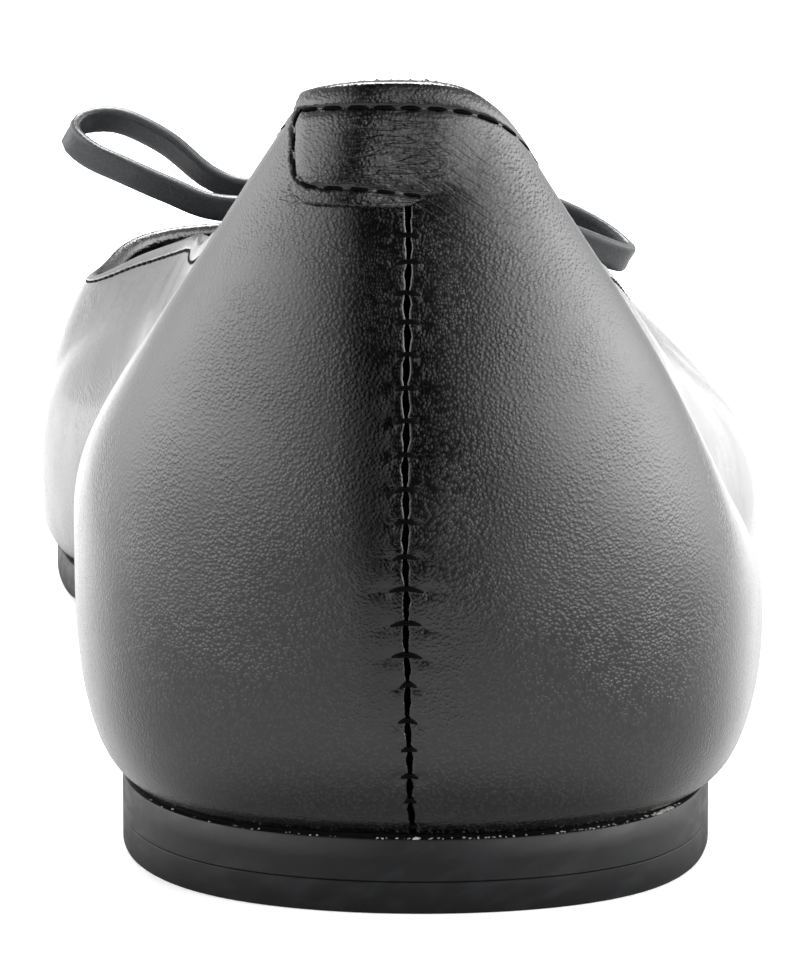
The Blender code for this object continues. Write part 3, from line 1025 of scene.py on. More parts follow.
@dataclass(frozen=True)
class Rubber:
    """Satin black sole rubber with a faint mottle."""

    name: str = "sole_rubber"
    color: Triple = (0.0040, 0.0042, 0.0048)
    roughness: float = 0.42
    specular: float = 0.25
    scuff: float = 1.9
    depth: float = 0.00002

    def make(self) -> bpy.types.Material:
        """The material.

        Returns:
            The finished material.
        """
        look = Look(self.name)
        smear = look.noise(look.turn(look.place, 20.0, (300.0, 300.0, 900.0)), 1.0, 3.0)
        scuffed = look.span(smear, 0.45, 0.75, 0.0, 1.0)
        lighter = tuple(self.scuff * part for part in self.color)
        return look.dress(
            Base_Color=look.blend(scuffed, self.color, lighter),
            Normal=look.bump(look.noise(look.place, 1500.0, 4.0), self.depth, 0.7),
            Roughness=look.span(smear, 0.3, 0.7, self.roughness - 0.05, self.roughness + 0.08),
            Specular_IOR_Level=self.specular,
        )


@dataclass(frozen=True)
class Plain:
    """A dull finish with a fine nap, for thread, cut edges, lining and fibres."""

    name: str
    color: Triple
    roughness: float = 0.8
    nap: float = 2500.0
    depth: float = 0.00003
    specular: float = 0.35
    mottle: float = 0.4

    def make(self) -> bpy.types.Material:
        """The material.

        Returns:
            The finished material.
        """
        look = Look(self.name)
        nap = look.noise(look.place, self.nap, 3.0)
        darker = tuple((1.0 - self.mottle) * part for part in self.color)
        lighter = tuple((1.0 + self.mottle) * part for part in self.color)
        return look.dress(
            Base_Color=look.blend(nap, darker, lighter),
            Normal=look.bump(nap, self.depth, 0.8),
            Roughness=self.roughness,
            Specular_IOR_Level=self.specular,
        )


class Finishes:
    """All the shoe's materials, made once."""

    def __init__(self) -> None:
        """Makes the grain's group and the materials that use it."""
        grain = Grain().group()
        self.leather = Leather("black_leather").make(grain)
        self.footbed = Leather(
            "footbed_leather", color=(0.022, 0.020, 0.019), roughness=0.6, depth=0.00003,
            coat=0.0, drawn=0.0,
        ).make(grain)
        self.lace = Leather(
            "lace_leather", color=(0.014, 0.015, 0.017), roughness=0.45, depth=0.00002,
            coat=0.15, drawn=0.0,
        ).make(grain)
        self.rubber = Rubber().make()
        self.thread = Plain(
            "black_thread", (0.0008, 0.0009, 0.0012), roughness=0.6, specular=0.04,
        ).make()
        # Near-black painted shade, put in the back seam's slit and in the gap above the sole.
        self.gap = Plain(
            "seam_shadow", (0.0010, 0.0010, 0.0010), roughness=0.9, specular=0.1,
        ).make()
        self.lining = Plain(
            "dark_lining", (0.006, 0.006, 0.0065), roughness=0.75, nap=1400.0, specular=0.12,
        ).make()
        self.fibre = Plain("cut_fibre", (0.010, 0.012, 0.016), roughness=0.9).make()
        self.glue = Plain("dried_glue", (0.30, 0.29, 0.27), roughness=0.6).make()


# ---- the upper


@dataclass
class BackSeam:
    """The butted back seam and its cross stitches, in metres up the seam from the sole."""

    head: float = 0.0532
    slit: float = 0.00023
    roll: float = 0.00017
    depth: float = 0.0015
    lean: float = 0.0005
    stitches: tuple[tuple[float, float], ...] = (
        (1.8, 0.6), (4.9, 0.8), (7.2, 1.2), (9.6, 1.1), (12.1, 1.3), (15.2, 1.1), (17.7, 1.9),
        (20.4, 2.0), (23.3, 2.3), (26.0, 1.7), (28.9, 1.6), (31.6, 1.5), (34.5, 1.6), (37.3, 1.6),
        (40.0, 1.6), (42.8, 1.6), (45.5, 1.7), (47.9, 1.8), (50.5, 1.8), (52.7, 1.5),
    )

    def drift(self, run: Array) -> Array:
        """How far the seam wanders off the middle, towards the medial side, along its run.

        Args:
            run: Distances up the seam from the sole.

        Returns:
            Signed distances.
        """
        share = np.clip(run / self.head, 0.0, 1.0)
        wander = 0.00005 * np.sin(run / MM * 0.9) + 0.00003 * np.sin(run / MM * 4.3)
        return -self.lean * np.sin(math.pi * share) + wander

    def half_gap(self, run: Array) -> Array:
        """Half the width of the open slit along the run, drawn in by each stitch.

        Args:
            run: Distances up the seam from the sole.

        Returns:
            Half widths.
        """
        closed = np.zeros_like(run)
        for place, _ in self.stitches:
            closed = np.maximum(closed, bell(run - place * MM, 0.0006))
        place = run / MM
        ragged = 0.15 * np.sin(2.3 * place) + 0.10 * np.sin(5.1 * place + 1.0)
        return self.slit * (1.0 - 0.55 * closed) * (1.0 + ragged)

    def relief(self, distance: Array, run: Array) -> Array:
        """How far the stitches draw the leather in or push it up.

        Args:
            distance: Signed distance from the seam's middle.
            run: Distance up the seam from the sole.

        Returns:
            Heights over the plain face.
        """
        height = np.zeros_like(distance)
        side = np.abs(distance)
        for index, (place, span) in enumerate(self.stitches):
            above = run - place * MM
            hole = span * 0.72 * MM
            drop = 0.00030 + 0.00010 * math.sin(index * 2.1)
            dent = bell(side - hole, 0.00045) * bell(above + drop, 0.00038)
            pull = bell(side - hole * 0.7, 0.7 * span * MM) * bell(above + drop * 0.6, 0.00050)
            ray = bell(side - hole * 1.6, 0.0009) * bell(above + drop * 1.9, 0.00028)
            strong = 1.0 if span > 1.85 else 0.45
            height -= 0.00008 * dent + strong * (0.00004 * pull + 0.00002 * span * ray)
        between = bell(side - 0.0009, 0.0009)
        return height + 0.00005 * between * (run < self.head)


@dataclass
class Stitching:
    """A row of lockstitch in its groove."""

    below_edge: float = 0.0018
    pitch: float = 0.0022
    thread: float = 0.00014
    groove: float = 0.00018
    width: float = 0.00017

    def relief(self, off: Array, run: Array) -> Array:
        """Depth of the groove at a distance off the row, deeper where the thread goes down."""
        beat = 0.5 + 0.5 * np.cos(2 * math.pi * run / self.pitch)
        return -self.groove * (0.55 + 0.45 * beat) * bell(off, self.width * (1.0 + 0.25 * beat))


@dataclass
class Crease:
    """A soft flex mark in the leather: a trough along a line, with a low ridge beside it."""

    around: float
    up: float
    turn: float
    length: float
    width: float
    depth: float


def soft_wave(points: Array) -> Array:
    """The slow unevenness of leather pulled over a last, as a height at each point."""
    x, y, z = points[..., 0] / MM, points[..., 1] / MM, points[..., 2] / MM
    return 0.00006 * np.sin(0.21 * x + 0.17 * z + 0.6) * np.sin(0.13 * y + 0.23 * z)


class Upper:
    """The leather outside, its topline and its lining."""

    CREASES = (
        Crease(0.700, 0.62, 80.0, 0.026, 0.0040, 0.00050),
        Crease(0.655, 0.55, 70.0, 0.020, 0.0030, 0.00028),
        Crease(0.620, 0.50, 60.0, 0.018, 0.0030, 0.00022),
        Crease(0.330, 0.55, 100.0, 0.020, 0.0032, 0.00030),
        Crease(0.370, 0.50, 115.0, 0.018, 0.0030, 0.00022),
        Crease(0.180, 0.60, 60.0, 0.020, 0.0045, 0.00018),
        Crease(0.815, 0.60, 115.0, 0.024, 0.0045, 0.00022),
    )
    # The folded edge's height, the height of the topline's band, which has finer rows, the number
    # of rows and samples, how far the columns reach, and a distance that is out of every reach.
    RIM = 0.0006
    BAND = 0.0042
    WALL_ROWS = 158
    BAND_ROWS = 29
    SAMPLES = 361
    FINE_REACH = 0.0100
    COARSE_REACH = 0.262
    FAR = 1.0

    def __init__(self, last: Last, seam: BackSeam, stitching: Stitching) -> None:
        """Keeps the last and lays out the rows and columns of the leather.

        Args:
            last: The shoe's last.
            seam: The back seam.
            stitching: The topline's stitching.
        """
        self.last = last
        self.seam = seam
        self.stitching = stitching

    def rows(self) -> tuple[Array, Array]:
        """Rows from the sole to the topline.

        Returns:
            For each row, its share of the way up to the topline's band, which is 1 in the band,
            and its distance below the topline, which counts in the band alone.
        """
        lower = np.linspace(0.0, 1.0, self.WALL_ROWS, endpoint=False)
        share = np.concatenate([lower, np.ones(self.BAND_ROWS)])
        near = np.linspace(self.BAND, 0.0, self.BAND_ROWS)
        below = np.concatenate([np.zeros(self.WALL_ROWS), near])
        return share, below

    def side(self) -> tuple[Array, Array]:
        """Columns on one side of the seam, from inside the slit over its rolled edge and away.

        Returns:
            Each column's distance from the slit's edge, and how far it lies below the face.
        """
        step, near = 0.00013, [0.0]
        while near[-1] < self.FINE_REACH:
            near.append(near[-1] + step)
            step = min(step * 1.045, 0.00034)
        flat = np.array(near[1:])
        quarter = np.linspace(0.0, math.pi / 2, 7)
        roll = self.seam.roll
        out = np.concatenate([[0.0], roll * (1.0 - np.cos(quarter)), roll + flat])
        down = np.concatenate(
            [[self.seam.depth], roll * (1.0 - np.sin(quarter)), np.zeros(len(flat))]
        )
        return out, down

    def middle(self) -> Array:
        """Columns between both sides' last ones, as shares, wider apart towards the toe.

        Returns:
            Rising shares, without 0 and 1.
        """
        step, spread = 0.00036, [0.0]
        while spread[-1] < self.COARSE_REACH:
            step = min(step * 1.07, 0.0024)
            spread.append(spread[-1] + step)
        half = np.array(spread) / spread[-1] * 0.5
        return np.concatenate([half[1:], (1.0 - half[::-1])[1:-1]])

    def lay_out(self) -> None:
        """Finds where each row and column of the leather lies on the last."""
        last = self.last
        share, below = self.rows()
        samples = np.linspace(0.0, 1.0, self.SAMPLES)
        ups = np.linspace(0.0, 1.0, 80)
        runs = runs_of(last.surface(samples[:, None], ups[None, :]))
        table = np.empty((len(share), self.SAMPLES))
        for index, run in enumerate(runs):
            target = np.where(share < 1.0, share * (run[-1] - self.BAND), run[-1] - below)
            table[:, index] = np.interp(target, run, ups)
        seam_run = np.interp(table[:, 0], ups, runs[0])
        side_out, side_down = self.side()
        middle = self.middle()
        columns = 2 * len(side_out) + len(middle)
        self.around = np.empty((len(share), columns))
        self.offset = np.zeros((len(share), columns))
        self.down = np.zeros((len(share), columns))
        count = len(side_out)
        gaps = self.seam.half_gap(seam_run)
        drifts = self.seam.drift(seam_run)
        for row in range(len(share)):
            up = float(table[row, 0])
            reach = gaps[row] + side_out
            lateral = last.around_at(up, drifts[row] + reach)
            medial = last.around_at(up, drifts[row] - reach)
            self.around[row, :count] = lateral
            self.around[row, columns - count:] = 1.0 + medial[::-1]
            start, end = lateral[-1], 1.0 + medial[-1]
            self.around[row, count:columns - count] = start + (end - start) * middle
            self.offset[row, :count] = reach
            self.offset[row, columns - count:] = -reach[::-1]
            self.offset[row, count:columns - count] = self.FAR
        self.down[:, :count] = side_down
        self.down[:, columns - count:] = side_down[::-1]
        self.up = np.empty_like(self.around)
        for row in range(len(share)):
            self.up[row] = np.interp(self.around[row] % 1.0, samples, table[row])
        self.below = np.where(share < 1.0, self.FAR, below)
        self.seam_run = seam_run

    def relief(self, base: Array) -> Array:
        """Height of the leather's own shape over the last, at each row and column.

        Args:
            base: Points of the plain face.

        Returns:
            Heights, by row and column.
        """
        rows, columns = self.around.shape
        height = np.zeros((rows, columns))
        near = np.abs(self.offset) < self.FAR / 2
        run = np.broadcast_to(self.seam_run[:, None], (rows, columns))
        seam_part = self.seam.relief(np.where(near, self.offset, self.FAR), run)
        fade = 1.0 - ease((run - self.seam.head - 0.0004) / 0.0012)
        height += seam_part * near * fade
        height -= self.down
        row_of_thread = int(np.argmin(np.abs(self.below - self.stitching.below_edge)))
        along = run_of(base[row_of_thread])
        below = np.broadcast_to(self.below[:, None], (rows, columns))
        edge = below < self.FAR / 2
        groove = self.stitching.relief(below - self.stitching.below_edge, along[None, :])
        puff = 0.00010 * np.sin(math.pi * np.clip(below / self.stitching.below_edge, 0.0, 1.0))
        height += np.where(edge, groove + puff, 0.0)
        for crease in self.CREASES:
            height += self.crease(crease, base)
        return height + soft_wave(base)

    def crease(self, mark: Crease, base: Array) -> Array:
        """Height of one flex mark over the whole leather.

        Args:
            mark: The flex mark.
            base: Points of the plain face.

        Returns:
            Heights, by row and column.
        """
        centre = self.last.surface(np.array(mark.around), np.array(mark.up))
        normal = self.last.normal(np.array(mark.around), np.array(mark.up))
        climb = self.last.climb(np.array(mark.around), np.array(mark.up))
        run = np.cross(climb, normal)
        turn = math.radians(mark.turn)
        line = climb * math.sin(turn) + run * math.cos(turn)
        side = climb * math.cos(turn) - run * math.sin(turn)
        offset = base - centre
        along = offset @ line
        across = offset @ side + 0.12 * along**2 / mark.length
        close = bell(offset @ normal, 0.012)
        trough = bell(across, mark.width) - 0.45 * bell(across - 1.9 * mark.width, mark.width)
        return -mark.depth * trough * bell(along, mark.length * 0.6) * close

    def build(self, finishes: Finishes) -> list[Piece]:
        """The leather, its lining, its topline thread and the strip behind the seam.

        Args:
            finishes: The shoe's materials.

        Returns:
            The finished pieces.
        """
        self.lay_out()
        base = self.last.surface(self.around, self.up)
        normal = self.last.normal(self.around, self.up)
        height = self.relief(base)
        outside = base + normal * height[..., None]
        self.outside, self.normal = outside, normal
        top, out = outside[-1], normal[-1]
        climb = self.last.climb(self.around[-1], np.full(self.around.shape[1], 0.99))
        half = self.last.sizes.wall / 2
        centre = top - out * half
        fold = []
        for turn in np.linspace(0.0, math.pi, 9)[1:]:
            arm = out * half * math.cos(turn)
            fold.append(centre + arm + climb * self.RIM * math.sin(turn))
        inner = []
        for distance in (0.0008, 0.0018, 0.0030, 0.0045):
            up = self.last.up_below_top(self.around[-1], distance)
            face = self.last.surface(self.around[-1], up)
            inner.append(face - self.last.normal(self.around[-1], up) * self.last.sizes.wall)
        grid = np.concatenate([outside, np.array(fold), np.array(inner)], axis=0)
        leather = grid_sheet("upper_leather", grid)
        shade_all(leather)
        finish_piece(leather, finishes.leather, ["upper"])
        return [leather, self.lining(finishes), self.strip(finishes), self.thread(finishes)]

    def lining(self, finishes: Finishes) -> Piece:
        """The lining on the inside, from below the topline to the footbed.

        Args:
            finishes: The shoe's materials.

        Returns:
            The finished piece.
        """
        columns = np.linspace(0.0, 1.0, 241)
        wall = self.last.sizes.wall
        rows = []
        lip = ((0.0021, wall * 0.8), (0.0020, wall + 0.00022), (0.0024, wall + 0.0003))
        for distance, depth in lip:
            up = self.last.up_below_top(columns, distance)
            rows.append(self.last.surface(columns, up) - self.last.normal(columns, up) * depth)
        start = self.last.up_below_top(columns, 0.0050)
        for share in np.linspace(1.0, 0.0, 46):
            up = start * share
            normal = self.last.normal(columns, np.maximum(up, 0.02))
            normal[:, 2] *= ease(up / 0.12)
            face = self.last.surface(columns, up) - unit(normal) * (wall + 0.0001)
            rows.append(face)
        lining = grid_sheet("upper_lining", np.array(rows[::-1]))
        weld(lining)
        shade_all(lining)
        return finish_piece(lining, finishes.lining)

    def strip(self, finishes: Finishes) -> Piece:
        """A near-black strip behind the open slit of the back seam, painted shade in the slit.

        Args:
            finishes: The shoe's materials.

        Returns:
            The finished piece.
        """
        rows = []
        across = np.linspace(-0.0022, 0.0022, 7)
        depth = 0.0012
        for up in np.linspace(0.0, 0.86, 60):
            around = self.last.around_at(up, across)
            level = np.full(len(across), up)
            face = self.last.surface(around, level)
            rows.append(face - self.last.normal(around, level) * depth)
        # A near-black sheet as painted shade behind the slit.
        strip = grid_sheet("seam_backing", np.array(rows))
        shade_all(strip)
        return finish_piece(strip, finishes.gap)

    def thread(self, finishes: Finishes) -> Piece:
        """The row of stitches below the topline.

        Args:
            finishes: The shoe's materials.

        Returns:
            The finished piece.
        """
        row = int(np.argmin(np.abs(self.below - self.stitching.below_edge)))
        line = self.outside[row] + self.normal[row] * self.stitching.thread * 0.9
        run = run_of(line)
        first, last = 0.0072, run[-1] - 0.0125
        return sew(
            "topline_thread", line, self.normal[row], run, first, last, self.stitching, finishes
        )


def sew(
    name: str, line: Array, normal: Array, run: Array, first: float, last: float,
    stitching: Stitching, finishes: Finishes,
) -> Piece:
    """A row of stitches along a line.

    Args:
        name: The piece's name.
        line: Points of the row.
        normal: The face's normal at each point.
        run: Distance along the row at each point.
        first: Distance at which the row starts.
        last: Distance at which the row ends.
        stitching: Size and spacing of the stitches.
        finishes: The shoe's materials.

    Returns:
        All the stitches as one piece.
    """
    model = lying_ball(7)
    shape = points_of(model)
    size = np.sqrt(np.clip(1.0 - shape[:, 0] ** 4, 0.0, 1.0)) / np.sqrt(
        np.clip(1.0 - shape[:, 0] ** 2, 1e-6, 1.0)
    )
    shape[:, 1:] *= np.minimum(size, 1.25)[:, None]
    copies = []
    count = int((last - first) / stitching.pitch)
    for index in range(count):
        middle = first + (index + 0.5) * stitching.pitch
        at = middle + shape[:, 0] * stitching.pitch * 0.44
        centre = read_line(line, run, at)
        up = unit(read_line(normal, run, at))
        ahead = read_line(line, run, at + 1e-4)
        side = unit(np.cross(unit(ahead - centre), up))
        dip = -0.0002 * shape[:, 0:1] ** 4
        points = centre + side * shape[:, 1:2] * stitching.thread
        points += up * (shape[:, 2:3] * stitching.thread + dip)
        copies.append(copy_of(model, points))
    bpy.data.objects.remove(model)
    row = join(name, copies)
    smooth(row, 60.0)
    return finish_piece(row, finishes.thread)


@dataclass
class HeelTab:
    """The outer quarter's tab that crosses the back seam at the topline, sizes in metres.

    cut_edge gives the first rows and columns their share of the thickness, from the face up.
    """

    last: Last
    stitching: Stitching
    reach: float = 0.0101
    merge: float = 0.0090
    height: float = 0.0101
    corner: float = 0.0022
    thickness: float = 0.0009
    inset: float = 0.00075
    flange: float = 0.0015
    turn_radius: float = 0.0016
    thread_end: float = 0.0022
    rows_up: int = 100
    columns: int = 158
    cut_edge: tuple[float, ...] = (-0.25, 0.55, 0.86, 0.98)

    def left_edge(self, below: Array, fray: float = 0.0) -> Array:
        """Distance of the raw edge from the seam, by distance below the topline.

        Args:
            below: Distances below the topline.
            fray: How much of the raw edge's fraying shows, 0 to 1.

        Returns:
            Distances from the seam, positive.
        """
        lean = 0.0009 * ease(1.0 - below / 0.0035) + 0.0002 * ease((below - 0.0060) / 0.0035)
        into = np.clip((below - (self.height - self.corner)) / self.corner, 0.0, 1.0)
        round_off = self.corner * (1.0 - np.sqrt(np.maximum(1.0 - into**2, 0.0)))
        frayed = 0.00006 * np.sin(below / MM * 9.0) + 0.00004 * np.sin(below / MM * 23.0 + 1.0)
        return self.reach - lean - round_off + fray * frayed

    def foot(self, distance: Array) -> Array:
        """How far below the topline the tab ends, by distance from the seam."""
        frayed = 0.00005 * np.sin(distance / MM * 8.0) + 0.00003 * np.sin(distance / MM * 19.0)
        return self.height - 0.0011 * ease((distance + 0.0008) / 0.0032) + frayed

    def low_row(self, distance: Array) -> Array:
        """How far below the topline the lower row of stitches runs."""
        return self.height - self.flange + 0.0005 * ease((distance + 0.0050) / 0.0075)

    def fall(self, distance: Array, below: Array) -> Array:
        """How much of its thickness is left as the tab runs into the quarter it belongs to."""
        end = 0.0032 + 0.0050 * ease((self.height - 0.0010 - below) / 0.0050)
        return 1.0 - ease((distance + 0.0075) / (end + 0.0075))

    def points(self, distance: Array, below: Array) -> tuple[Array, Array]:
        """Points and normals of the last's face round the tab.

        Args:
            distance: Signed distances from the back seam, the lateral side positive.
            below: Distances below the topline.

        Returns:
            The points and the unit normals.
        """
        ups = self.last.up_below_top(np.zeros(len(below)), below[:, 0])
        around = np.array([self.last.around_at(up, row) for up, row in zip(ups, distance)])
        up = self.last.up_below_top(around, below)
        return self.last.surface(around, up), self.last.normal(around, up)

    def build(self, finishes: Finishes) -> list[Piece]:
        """The tab, its cut edge and its stitches.

        Args:
            finishes: The shoe's materials.

        Returns:
            The finished pieces.
        """
        cut = len(self.cut_edge)
        share = np.concatenate(
            [[1.0, 1.0, 0.996, 0.988], np.linspace(0.978, 0.0, self.rows_up - cut)]
        )
        size = (self.rows_up, self.columns)
        distance, below = np.empty(size), np.empty(size)
        for row in range(self.rows_up):
            edge = float(self.left_edge(np.array(share[row] * self.height), 1.0))
            start = -edge + np.array([0.0, 0.0, 0.00005, 0.00014])
            run = np.linspace(0.00024 - edge, self.merge, self.columns - cut)
            distance[row] = np.concatenate([start, run])
            below[row] = share[row] * self.foot(distance[row])
        profile = np.ones(size)
        profile[:cut] = np.array(self.cut_edge)[:, None]
        profile[:, :cut] = np.minimum(profile[:, :cut], self.cut_edge)
        face, out = self.points(distance, below)
        height = self.thickness * self.fall(distance, below) * profile
        height += self.relief(distance, below) * np.clip(profile, 0.0, 1.0)
        height += 0.00003 + soft_wave(face)
        height -= 0.00006 * ease((distance - 0.0020) / 0.0062)
        tail = ease((distance - 0.0024) / 0.0008) * bell(self.foot(distance) - below, 0.00035)
        height -= 0.00010 * tail
        grid = face + out * height[..., None]
        climb = unit(grid[-1] - grid[-3])
        stand = np.sum((grid[-1] - face[-1]) * out[-1], axis=1)
        depth = (stand + self.last.sizes.wall + 0.00008) / 2
        centre = grid[-1] - out[-1] * depth[:, None]
        fold = []
        for turn in np.linspace(0.0, math.pi, 10)[1:]:
            arm = out[-1] * (depth * math.cos(turn))[:, None]
            fold.append(centre + arm + climb * 0.00064 * math.sin(turn))
        full = np.concatenate([grid, np.array(fold), (fold[-1] - climb * 0.003)[None]], axis=0)
        tab = grid_sheet("heel_tab", full)
        shade_all(tab)
        finish_piece(tab, finishes.leather)
        return [tab, self.side_thread(finishes), self.top_thread(finishes), self.fluff(finishes)]

    def row_distance(self, distance: Array, below: Array) -> Array:
        """Distance from the row of stitches that follows the raw edge, positive inside it.

        Args:
            distance: Signed distances from the back seam, the lateral side positive.
            below: Distances below the topline.

        Returns:
            Distances from the row.
        """
        left = distance + self.left_edge(np.minimum(below, self.height - self.corner)) - self.inset
        low = self.low_row(distance) - below
        radius = self.turn_radius
        round_corner = radius - np.hypot(radius - left, radius - low)
        return np.where((left < radius) & (low < radius), round_corner, np.minimum(left, low))

    def relief(self, distance: Array, below: Array) -> Array:
        """Height of the tab's stitch grooves, puffed field and pressed wrinkles.

        Args:
            distance: Signed distances from the back seam, the lateral side positive.
            below: Distances below the topline.

        Returns:
            Heights over the tab's plain face.
        """
        off_top = below - self.stitching.below_edge
        row = self.row_distance(distance, below)
        ends = 1.0 - ease((distance - self.thread_end) / 0.0008)
        groove = 1.3 * self.stitching.relief(row, distance - below) * ends * (off_top > -0.0002)
        top = self.stitching.relief(off_top, np.maximum(distance, 0.0))
        top = top * (row > -0.0002)
        band = 0.00010 * np.sin(math.pi * np.clip(below / self.stitching.below_edge, 0.0, 1.0))
        field = 0.00010 * ease((row - 0.0001) / 0.0011) * ease((off_top - 0.0001) / 0.0009)
        field *= 1.0 - ease((distance - 0.0020) / 0.0050)
        fine = bell(distance - 0.0006, 0.0040) * ease((off_top - 0.0002) / 0.0010)
        x, z = distance / MM, below / MM
        phase = z * 9.5 + 1.5 * np.sin(x * 0.8) + 0.7 * np.sin(x * 2.1)
        swell = 0.6 + 0.4 * np.sin(x * 1.7 + z * 1.1)
        return groove + top + band + field + 0.000016 * np.sin(phase) * swell * fine

    def sew_row(
        self, name: str, stops: Sequence[tuple[float, float]], finishes: Finishes,
    ) -> Piece:
        """Sews a row of stitches on the tab's face.

        Args:
            name: The piece's name.
            stops: Distance from the seam and below the topline, place by place.
            finishes: The shoe's materials.

        Returns:
            The finished piece.
        """
        table = np.array(stops)
        face, out = self.points(table[:, :1], table[:, 1:])
        face, out = face[:, 0], out[:, 0]
        thick = self.thickness * self.fall(table[:, 0], table[:, 1])
        relief = self.relief(table[:, 0], table[:, 1])
        line = face + out * (thick + relief + self.stitching.thread * 0.8)[:, None]
        run = run_of(line)
        return sew(name, line, out, run, 0.0, run[-1], self.stitching, finishes)

    def side_thread(self, finishes: Finishes) -> Piece:
        """The stitches down the raw edge, round the corner and along the tab's foot.

        Args:
            finishes: The shoe's materials.

        Returns:
            The finished piece.
        """
        radius = self.turn_radius
        low = self.height - self.flange
        stops = []
        for below in np.linspace(self.stitching.below_edge - 0.0002, low - radius, 30):
            stops.append((self.inset - float(self.left_edge(np.array(below))), below))
        centre = (stops[-1][0] + radius, low - radius)
        for turn in np.linspace(0.0, math.pi / 2, 9)[1:]:
            across, down = radius * math.cos(turn), radius * math.sin(turn)
            stops.append((centre[0] - across, centre[1] + down))
        for distance in np.linspace(centre[0] + 0.0002, self.thread_end, 40):
            stops.append((distance, float(self.low_row(np.array(distance)))))
        return self.sew_row("tab_side_thread", stops, finishes)

    def top_thread(self, finishes: Finishes) -> Piece:
        """The topline's stitches where they cross the tab.

        Args:
            finishes: The shoe's materials.

        Returns:
            The finished piece.
        """
        start = self.inset - float(self.left_edge(np.array(self.stitching.below_edge)))
        below = self.stitching.below_edge
        stops = [(distance, below) for distance in np.linspace(start, self.merge, 60)]
        return self.sew_row("tab_top_thread", stops, finishes)

    def fluff(self, finishes: Finishes) -> Piece:
        """Short fibres on the top edge and at the tab's raw corner.

        Args:
            finishes: The shoe's materials.

        Returns:
            The finished piece.
        """
        chance = np.random.default_rng(5)
        on_top, at_corner = 26, 12
        radius, stand = 0.00003, 0.00074
        climb = np.array((0.0, 0.25, 0.97))
        forward = np.array((0.0, 1.0, 0.0))
        distance = np.concatenate([
            chance.uniform(-0.0042, 0.0026, on_top), chance.uniform(-0.0104, -0.0080, at_corner),
        ])
        below = np.concatenate([
            np.full(on_top, 0.0001), chance.uniform(0.0086, 0.0101, at_corner),
        ])
        face, out = self.points(distance[:, None], below[:, None])
        quiet()
        bpy.ops.mesh.primitive_cylinder_add(vertices=5, radius=1.0, depth=1.0)
        model = bpy.context.object
        shape = points_of(model)
        copies = []
        for index in range(on_top + at_corner):
            long = chance.uniform(0.0003, 0.0009)
            along = unit(np.array((1.0, 0.0, chance.uniform(-0.7, 0.9))))
            side = np.cross(along, forward)
            upper = index < on_top
            centre = face[index, 0] + climb * (stand if upper else 0.0)
            centre = centre + out[index, 0] * (-0.0008 if upper else 0.0005)
            points = centre + along * shape[:, 2:3] * long + side * shape[:, 0:1] * radius
            copies.append(copy_of(model, points + forward * shape[:, 1:2] * radius))
        bpy.data.objects.remove(model)
        fibres = join("cut_fibres", copies)
        return finish_piece(fibres, finishes.fibre)


class CrossStitches:
    """The thread that crosses the back seam."""

    RADIUS = 0.00012
    SHARE_OF_SPAN = 0.80

    def __init__(self, upper: Upper) -> None:
        """Keeps the upper that they are sewn through."""
        self.upper = upper

    def build(self, finishes: Finishes) -> Piece:
        """All the cross stitches, two strands each.

        Args:
            finishes: The shoe's materials.

        Returns:
            The finished piece.
        """
        model = lying_ball(13)
        shape = points_of(model)
        seam = self.upper.seam
        copies = []
        for index, (place, span) in enumerate(seam.stitches):
            for strand in (-1.0, 1.0):
                reach = span * self.SHARE_OF_SPAN * MM
                bow = 0.00034 + 0.00008 * math.sin(index * 1.7)
                x = shape[:, 0]
                slide = strand * 0.00010 * (1.0 - x**2) + 0.00006 * math.sin(index * 2.9) * x
                up_seam = place * MM - bow * x**2 * 1.2 + slide
                at = seam.drift(np.array([place * MM]))[0] + x * reach
                centre, normal = self.face(at, up_seam + shape[:, 1] * self.RADIUS)
                high = self.RADIUS * (1.0 - x**2) - 0.00034 * x**4 - 0.00002
                points = centre + normal * (high + shape[:, 2] * self.RADIUS)[:, None]
                copies.append(copy_of(model, points))
        bpy.data.objects.remove(model)
        piece = join("back_seam_thread", copies)
        weld(piece, 1e-7)
        smooth(piece, 60.0)
        return finish_piece(piece, finishes.thread)

    def face(self, distance: Array, run: Array) -> tuple[Array, Array]:
        """Points and normals of the face at distances from the seam and runs up it.

        Args:
            distance: Signed distances from the back seam, the lateral side positive.
            run: Distances up the seam from the sole.

        Returns:
            The points and the unit normals.
        """
        last = self.upper.last
        up = np.interp(run, self.upper.seam_run, self.upper.up[:, 0])
        around = last.around_at(float(np.mean(up)), distance)
        return last.surface(around, up), last.normal(around, up)


# ---- the sole


